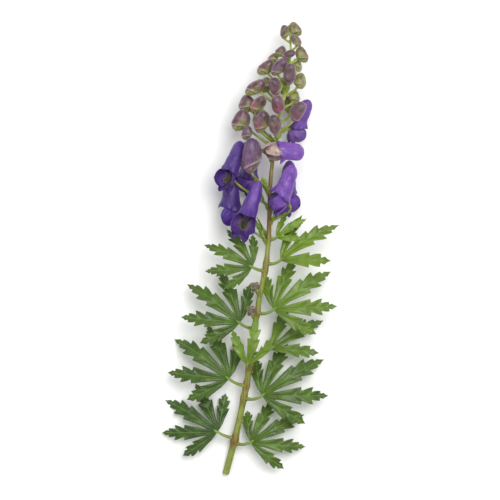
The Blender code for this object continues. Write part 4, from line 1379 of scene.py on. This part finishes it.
def stem_leaf(name, leaf, seed):
    foot, out = foot_on_stem(leaf)
    turn = leaf_turn(leaf.way, leaf.face)
    ahead = turn @ ALONG
    origin = foot + (out + ahead).normalized() * leaf.stalk
    line = stalk_line(foot - out * STALK_SINK, out, origin + ahead * LEAF_STALK_TUCK, ahead)
    flush = [LEAF_STALK_FLUSH * (1 - k / (STALK_POINTS - 1)) for k in range(STALK_POINTS)]
    stalk = Line(line, radii_along(LEAF_STALK_RADII), flush)
    pieces = [tubes([stalk], LEAF_RIB, LEAF_FINISHES, LEAF_STALK_SECTION)]
    pieces += blade_pieces(leaf, turn, origin, seed)
    return settle(joined(pieces, name + "_blade", LEAF_FINISHES), "leaves", name)


# The table, the light and the camera


def make_floor():
    mesh = bpy.data.meshes.new("floor")
    with edited(mesh) as bm:
        bmesh.ops.create_grid(bm, x_segments=1, y_segments=1, size=FLOOR_SIZE / 2)
    floor = in_scene("floor", mesh)
    material = finish_named("pale_floor", base_color=(0.93, 0.93, 0.925, 1), roughness=0.9)[0]
    floor.data.materials.append(material)


def area_light(name, place, size, power):
    """A square soft light that looks at the middle of the spike."""
    lamp = bpy.data.lights.new(name, "AREA")
    lamp.shape = "SQUARE"
    lamp.size = size
    lamp.energy = power
    light = in_scene(name, lamp)
    light.location = place
    light.rotation_euler = (LOOK_AT - Vector(place)).to_track_quat("-Z", "Y").to_euler()


def make_light():
    world = bpy.data.worlds.new("daylight")
    world.use_nodes = True
    background = world.node_tree.nodes["Background"]
    background.inputs["Color"].default_value = (1.0, 1.0, 1.0, 1)
    background.inputs["Strength"].default_value = WORLD_STRENGTH
    bpy.context.scene.world = world
    for lamp in LAMPS:
        area_light(*lamp)
    bpy.context.scene.view_settings.view_transform = "Standard"


def make_camera():
    lens = bpy.data.cameras.new("camera")
    lens.lens = CAMERA_HEIGHT / FRAME_WIDTH * lens.sensor_width
    camera = in_scene("camera", lens)
    camera.location = LOOK_AT + Vector((0, 0, CAMERA_HEIGHT))
    bpy.context.scene.camera = camera


# The down: short hairs that stand on a surface


def down_tree():
    """Scatters fine three-sided hairs over a surface, leaning every way a little."""
    inputs = {
        "Surface": GEOMETRY,
        "Density": 1.0,
        "Length": 0.0005,
        "Width": 0.00004,
        "Lean": 0.5,
        "Seed": 0,
        "Material": MATERIAL,
    }
    tree, given, result = shape_tree("down", "Hairs", inputs)
    seed, lean = given["Seed"], given["Lean"]
    inputs = {"Mesh": given["Surface"], "Density": given["Density"], "Seed": seed}
    spots = add(tree, "GeometryNodeDistributePointsOnFaces", inputs).outputs
    inputs = {"Vertices": 3, "Radius Top": 0.0, "Radius Bottom": given["Width"], "Depth": given["Length"]}
    hair = out_of(tree, "GeometryNodeMeshCone", inputs, fill_type="NGON")
    back = scaled(tree, lean, -1.0)
    inputs = {0: vector_of(tree, back, back), 1: vector_of(tree, lean, lean, math.tau), "Seed": seed}
    turn = out_of(tree, "FunctionNodeRandomValue", inputs, data_type="FLOAT_VECTOR")
    inputs = {"Rotation": spots["Rotation"], "Rotate By": turn}
    turned = out_of(tree, "FunctionNodeRotateRotation", inputs, rotation_space="LOCAL")
    hairs = placed(tree, spots["Points"], hair, turned, random_number(tree, 0.5, 1.2, seed))
    tree.links.new(made_real(tree, hairs, given["Material"]), result)
    return tree


DOWN = down_tree()


def down_on(surface, per_square_mm, seed, materials):
    """The hairs on a surface, as a piece of its own."""
    guide = in_scene("down", surface.data.copy())
    sizes = {"Length": DOWN_LENGTH * MM, "Width": DOWN_WIDTH * MM, "Density": per_square_mm / MM**2}
    hairs = made_by(DOWN, guide, Seed=seed, Material=DOWN_HAIR, **sizes)
    return set_material(hairs, DOWN_HAIR, materials)


# Buds


def bud_way(bud):
    """The way a bud's hooded end points."""
    lean, tilt = math.radians(bud.lean), math.radians(bud.tilt)
    return Vector((math.sin(lean) * math.cos(tilt), math.cos(lean) * math.cos(tilt), math.sin(tilt)))


def bud_matrix(bud):
    """The bud's turn: its hood along its own way, and its lip outwards and down the stem."""
    place = Vector(bud.place)
    lip = away_from_stem(place) - ALONG * BUD_LIP_DROP
    return Matrix.Translation(place) @ axes_of(bud_way(bud), lip)


def bud_roll(bud, matrix):
    """The angle from the front of the bud's shape to the front of its hood, out and up the stem."""
    front = away_from_stem(Vector(bud.place)) * BUD_SEAT_INWARD + ALONG
    local = matrix.to_3x3().inverted() @ front
    return math.atan2(local.x, local.y)


def bud_polar(around, down):
    """The angle from the hooded end. Down runs from 0 there to 1 at the hood's hem and 2 at the foot."""
    hem = math.acos(mix(*BUD_HEM, (1 - math.cos(around)) / 2))
    return hem * down if down <= 1 else mix(hem, math.pi, min(down - 1, 1.0))


def bud_point(length, width, around, down, roll, seed):
    """A point of the bud's skin.

    Around is 0 at the front of its hood, and the roll turns that to the front of its shape.
    """
    polar = bud_polar(around, down)
    turn = around + roll
    x, y, z = math.sin(polar) * math.sin(turn), math.sin(polar) * math.cos(turn), math.cos(polar)
    front = max(y, 0.0)
    tip = rise_from(BUD_TIP_FROM, z)
    taper = 1 - BUD_TIP_TAPER * tip - BUD_FOOT_TAPER * max(-z, 0.0) ** 2 + BUD_BLUNTNESS * max(z, 0.0) ** 2
    lip = BUD_LIP * front * bump(z, *BUD_LIP_AT)
    groove = BUD_GROOVE * front * bump(z, *BUD_GROOVE_AT)
    covered = 1.0 if down <= 1 else 0.0
    below = (1 - covered) * smooth((down - 1) * 5)
    seam = BUD_SEAM * (bump(around, 0, 0.14) + 0.6 * bump(abs(around), BUD_BACK_SEAM_AT, 0.12)) * below
    cheek = BUD_CHEEK * bump(abs(around), 0.75, 0.5) * below
    roll_over = BUD_HEM_STEP * (covered * (1 + 0.7 * rise_from(0.88, down)) - 0.6)
    dent = BUD_DENT * uneven((x * 3, y * 3, z * 3), 2.0, seed)
    bend = BUD_BEND * length * (z * z * (1.0 if z > 0 else BUD_FOOT_BEND) - 0.5)
    wide = taper + lip - groove - seam + cheek + roll_over + dent
    return Vector((x * wide * BUD_FLATNESS * width / 2, y * wide * width / 2 + bend, z * length / 2))


def bud_paint(around, down):
    """The paint and the sides of a point of the bud's skin, as bud_finish reads them."""
    polar = bud_polar(around, down)
    covered = 1.0 if down <= 1 else 0.0
    below = 1 - covered
    hem_shade = smooth(1 - (down - 1) * 6) if down > 1 else 0.0
    seam_shade = max(bump(around, 0, 0.09), 0.8 * bump(abs(around), BUD_BACK_SEAM_AT, 0.08)) * below
    back = (1 - math.cos(around)) / 2
    lips = bump(around, 0, 1.0) * smooth((1 - math.cos(polar)) / 0.9 - 0.9) * mix(below, 1.0, 0.25)
    rim = smooth((down - 0.90) / 0.08) * covered
    return covered, (math.cos(polar) + 1) / 2, max(hem_shade, seam_shade), back, lips, rim


def bud_skin(length, width, seed, tone, roll=0.0, fine=1.0):
    """The closed skin of a bud: the hood down to its hem, and the side sepals that show under it."""
    rows = shares(round(BUD_HOOD_ROWS * fine))
    rows += [mix(BUD_UNDER_HEM, 2.0, share) for share in shares(round(BUD_FOOT_ROWS * fine))]

    def point_at(across, down):
        return bud_point(length, width, (across * 2 - 1) * math.pi, down, roll, seed)

    def paint_at(across, down):
        return bud_paint((across * 2 - 1) * math.pi, down)[:3]

    def sides_at(across, down):
        return bud_paint((across * 2 - 1) * math.pi, down)[3:]

    return toned(sheet(point_at, rows, shares(round(BUD_COLUMNS * fine)), paint_at, sides_at), tone)


def closed_bud(name, bud, seed):
    matrix = bud_matrix(bud)
    skin = bud_skin(bud.length, bud.width, seed, bud.tone, bud_roll(bud, matrix))
    pieces = [skin, down_on(skin, DOWN_PER_SQUARE_MM, seed, BUD_FINISHES)]
    return settle(joined(pieces, name + "_skin", BUD_FINISHES, matrix), "buds", name)


def bud_seat(bud, seed):
    """Where a bud's stalk ends, at the bud's lowest inner point, and the way from the bud to it."""
    inward = -away_from_stem(Vector(bud.place))
    way = (inward * BUD_SEAT_INWARD - ALONG).normalized()
    matrix = bud_matrix(bud)
    roll = bud_roll(bud, matrix)
    places = [(math.tau * a / 12, 0.4 + b / 5) for a in range(12) for b in range(9)]
    points = [matrix @ bud_point(bud.length, bud.width, around, down, roll, seed) for around, down in places]
    return max(points, key=lambda point: point.dot(way)), way


# The stem with the stalks and bracts that grow from it


def flower_seat(flower):
    """Where a flower's stalk ends behind its receptacle, and the way from the flower to it."""
    matrix = flower_matrix(flower)
    way = (matrix.to_3x3() @ FLOWER_SEAT).normalized()
    return matrix.translation + way * RECEPTACLE_RADIUS * flower.scale * FLOWER_SEAT_SHARE, way


def stalk_foot(seat):
    return seat.y - (seat - stem_point(seat.y)).length * STALK_CLIMB


def side_stalk(seat, way):
    """The stalk that climbs from the stem to a seat."""
    height = stalk_foot(seat)
    out = (away_from_stem(seat) + stem_way(height)).normalized()
    return Line(stalk_line(stem_point(height), out, seat, -way), radii_along(STALK_RADII))


def stem_bract(seat, seed):
    """The narrow leaf under a stalk. Long ones have a tooth or two."""
    out = away_from_stem(seat)
    height = stalk_foot(seat)
    way = stem_way(height)
    length = table_value(BRACT_LENGTHS, height)
    shape = BRACT_TOOTHED if length > BRACT_TOOTHED_FROM else BRACT_LEAF
    turn = leaf_turn((out * BRACT_LIFT + way).normalized(), way - out)
    origin = stem_point(height - BRACT_TUCK) + out * stem_radius(height) / 2
    return blade_pieces(Blade(shape, length, BRACT_ARCH, BRACT_FOLD, BRACT_YOUTH), turn, origin, seed)


def bracteoles(stalk, seed):
    """Two tiny leaves on a flower's stalk."""
    middle = round(BRACTEOLE_AT * (STALK_POINTS - 1))
    foot = stalk.points[middle]
    way = (stalk.points[middle + 1] - foot).normalized()
    aside = way.cross(away_from_stem(foot)).normalized()
    blade = Blade(BRACT_LEAF, BRACTEOLE_LENGTH, BRACT_ARCH, BRACT_FOLD, BRACTEOLE_YOUTH)
    pieces = []
    for side in (-1, 1):
        ahead = (way + aside * side * BRACTEOLE_SPREAD).normalized()
        pieces += blade_pieces(blade, leaf_turn(ahead, aside * -side + way), foot, seed)
    return pieces


def stem_flush(height):
    """How red-brown the stem is: most of all beside the open flowers, and at each leaf's joint."""
    low, high = FLUSH_BETWEEN
    beside_flowers = smooth((height - low) / FLUSH_FADE) * smooth((high - height) / FLUSH_FADE)
    joints = max(bump(height, leaf.height, JOINT_LENGTH * 1.6) for leaf in LEAVES)
    return min(1.0, STEM_FLUSH * beside_flowers + JOINT_FLUSH * joints)


def main_stem():
    low, high = STEM_LINE[0][1], STEM_LINE[-1][1]
    heights = np.linspace(low, high, round((high - low) / STEM_STEP))
    line = Line(
        *([value_at(height) for height in heights] for value_at in (stem_point, stem_radius, stem_flush))
    )
    stem = tubes([line], STEM_SKIN, STEM_FINISHES, STEM_SECTION)
    cut_end(stem, low)
    return stem


def cut_end(stem, height):
    """Sinks the pith a little into the cut end of the stem."""
    low = stem_point(height) * MM
    with edited(stem.data) as bm:
        caps = [face for face in bm.faces if len(face.verts) > 4]
        cut = min(caps, key=lambda face: (face.calc_center_median() - low).length)
        for rim, depth in CUT_STEPS:
            bmesh.ops.inset_individual(bm, faces=[cut], thickness=rim * MM, depth=-depth * MM)
            cut.material_index = STEM_FINISHES.index(CUT_PITH)


def whole_stem():
    seats = [flower_seat(flower) for flower in FLOWERS]
    seats += [bud_seat(bud, number) for number, bud in enumerate(BUDS, 1)]
    stem = main_stem()
    stalks = [side_stalk(seat, way) for seat, way in seats]
    side_stalks = tubes(stalks, STEM_SKIN, STEM_FINISHES, STALK_SECTION)
    pieces = [stem, side_stalks, down_on(side_stalks, STEM_DOWN_PER_SQUARE_MM, STEM_DOWN_SEED, STEM_FINISHES)]
    for number, (seat, _) in enumerate(seats):
        if stalk_foot(seat) < BRACTS_UP_TO:
            pieces += stem_bract(seat, BRACT_SEED + number)
    for number, stalk in enumerate(stalks[: len(FLOWERS)]):
        pieces += bracteoles(stalk, BRACTEOLE_SEED + number)
    return settle(joined(pieces, "stem_and_stalks", STEM_FINISHES), "stem", "stem")


# The small clusters in the leaf axils


def bud_cluster(name, cluster, seed):
    """A short stalk with a bunch of tiny buds."""
    foot, out = foot_on_stem(cluster)
    way = (out + stem_way(cluster.height) * CLUSTER_CLIMB).normalized()
    head = foot + way * cluster.stalk
    stalk = Line(stalk_line(foot - out * STALK_SINK, out, head, way), radii_along(CLUSTER_STALK_RADII))
    pieces = [tubes([stalk], STEM_SKIN, CLUSTER_FINISHES, CLUSTER_STALK_SECTION)]
    turn = axes_of(way, stem_way(cluster.height)).to_3x3()
    length, width = TINY_BUD_SHARES
    for number, bud in enumerate(TINY_BUDS, seed):
        place = Vector(bud.place)
        skin = bud_skin(bud.radius * length, bud.radius * width, number, bud.tone, fine=TINY_BUD_FINENESS)
        lean = axes_of(turn @ (place + TINY_BUD_LIFT), turn @ place + ALONG * 0.1)
        skin.data.transform(metres(Matrix.Translation(head + turn @ place) @ lean))
        pieces += [skin, down_on(skin, DOWN_PER_SQUARE_MM, number, CLUSTER_FINISHES)]
    return settle(joined(pieces, name + "_buds", CLUSTER_FINISHES), "buds", name)


# The tuft of stamens in each flower


def stamen_tree():
    """Stamens that fan out from a small disc: bent threads, and an anther at the end of each."""
    inputs = {
        "Base": GEOMETRY,
        "Count": 30,
        "Length": 0.008,
        "Ring": 0.0013,
        "Spread": 0.4,
        "Filament Radius": 0.00014,
        "Anther Size": 0.0005,
        "Seed": 0,
        "Filament Material": MATERIAL,
        "Anther Material": MATERIAL,
    }
    tree, given, result = shape_tree("stamens", "Stamens", inputs)
    count, seed, length = given["Count"], given["Seed"], given["Length"]
    index = out_of(tree, "GeometryNodeInputIndex")
    angle = scaled(tree, index, GOLDEN_ANGLE)
    share = calc(tree, "SQRT", calc(tree, "DIVIDE", calc(tree, "ADD", index, 0.5), count))
    reach = scaled(tree, share, given["Ring"])
    across, up = (scaled(tree, reach, calc(tree, operation, angle)) for operation in ("COSINE", "SINE"))
    row = out_of(tree, "GeometryNodeMeshLine", {"Count": count, "Offset": (0, 0, 0)})
    inputs = {"Geometry": row, "Position": vector_of(tree, across, up)}
    spots = out_of(tree, "GeometryNodeSetPosition", inputs)
    tilt = scaled(tree, share, given["Spread"], random_number(tree, -0.1, 0.1, seed))
    turn = vector_of(tree, y=tilt, z=angle)
    size = random_number(tree, 0.78, 1.08, seed)
    tip = vector_of(tree, scaled(tree, length, 0.10), z=length)
    middle = vector_of(tree, scaled(tree, length, -0.16), z=scaled(tree, length, 0.5))
    inputs = {"Resolution": 6, "Start": (0, 0, 0), "Middle": middle, "End": tip}
    bow = out_of(tree, "GeometryNodeCurveQuadraticBezier", inputs)
    inputs = {"Value": out_of(tree, "GeometryNodeSplineParameter"), "To Min": 1.9, "To Max": 0.8}
    thickness = out_of(tree, "ShaderNodeMapRange", inputs)
    thread = tube(tree, bow, circle(tree, 5, given["Filament Radius"]), thickness)
    inputs = {"Segments": 8, "Rings": 6, "Radius": given["Anther Size"]}
    inputs = {
        "Geometry": out_of(tree, "GeometryNodeMeshUVSphere", inputs),
        "Translation": tip,
        "Scale": (0.75, 1.0, 1.45),
    }
    anther = out_of(tree, "GeometryNodeTransform", inputs)
    whole = add(tree, "GeometryNodeJoinGeometry")
    for shape, material in ((anther, given["Anther Material"]), (thread, given["Filament Material"])):
        branch = made_real(tree, placed(tree, spots, shape, turn, size), material)
        tree.links.new(branch, whole.inputs[0])
    tree.links.new(whole.outputs[0], result)
    return tree


STAMENS = stamen_tree()


def stamen_fan(seed):
    """The stamens, turned to look out of the flower."""
    guide = in_scene("stamens", bpy.data.meshes.new("stamens"))
    sizes = {
        "Count": STAMEN_COUNT,
        "Length": STAMEN_LENGTH * MM,
        "Ring": STAMEN_RING * MM,
        "Spread": STAMEN_SPREAD,
        "Filament Radius": FILAMENT_RADIUS * MM,
        "Anther Size": ANTHER_SIZE * MM,
        "Seed": seed,
        "Filament Material": FILAMENT_PALE,
        "Anther Material": ANTHER_OLIVE,
    }
    fan = made_by(STAMENS, guide, **sizes)
    turn = axes_of(TUFT_FORWARD, (0, 0, 1))
    foot = TUFT_FORWARD * (RECEPTACLE_RADIUS - 0.3)
    fan.data.transform(metres(Matrix.Translation(foot) @ turn))
    return fan


def seed_pods():
    """Three narrow pods in the middle of the stamens."""
    lines = []
    first = Vector((1, 0, 0))
    second = TUFT_FORWARD.cross(first)
    foot = TUFT_FORWARD * (RECEPTACLE_RADIUS - 0.4)
    for number in range(3):
        turn = math.tau * number / 3
        away = first * math.cos(turn) + second * math.sin(turn)
        points = [foot + TUFT_FORWARD * at + away * (0.45 + 0.12 * at) for at, _ in POD_LINE]
        lines.append(Line(points, [radius for _, radius in POD_LINE]))
    return tubes(lines, POD_GREEN, TUFT_FINISHES, POD_SECTION)


def nectaries(flower):
    """The two long-stalked nectar petals that stand up in the hood."""
    lines = []
    raised = [(x, y, z * flower.stretch) for x, y, z in NECTARY_POINTS]
    for side in (-1, 1):
        points = rounded_line([mirrored(point, side) for point in raised], 4)
        lines.append(Line(points, radii_along(NECTARY_RADII, len(points))))
    return tubes(lines, FILAMENT_PALE, TUFT_FINISHES, NECTARY_SECTION)


def flower_tuft(name, flower, seed):
    pieces = [stamen_fan(seed), seed_pods(), nectaries(flower)]
    made = joined(pieces, name + "_tuft", TUFT_FINISHES, flower_matrix(flower))
    return settle(made, "stamens", name + "_stamens")


for number, flower in enumerate(FLOWERS, 1):
    open_flower(f"flower_{number}", flower, number)
    flower_tuft(f"flower_{number}", flower, number)
for number, bud in enumerate(BUDS, 1):
    closed_bud(f"bud_{number}", bud, number)
for number, cluster in enumerate(CLUSTERS, 1):
    bud_cluster(f"bud_cluster_{number}", cluster, CLUSTER_SEED + CLUSTER_SEED_STEP * number)
for number, leaf in enumerate(LEAVES, 1):
    stem_leaf(f"leaf_{number}", leaf, LEAF_SEED + number)
whole_stem()

make_floor()
make_light()
make_camera()
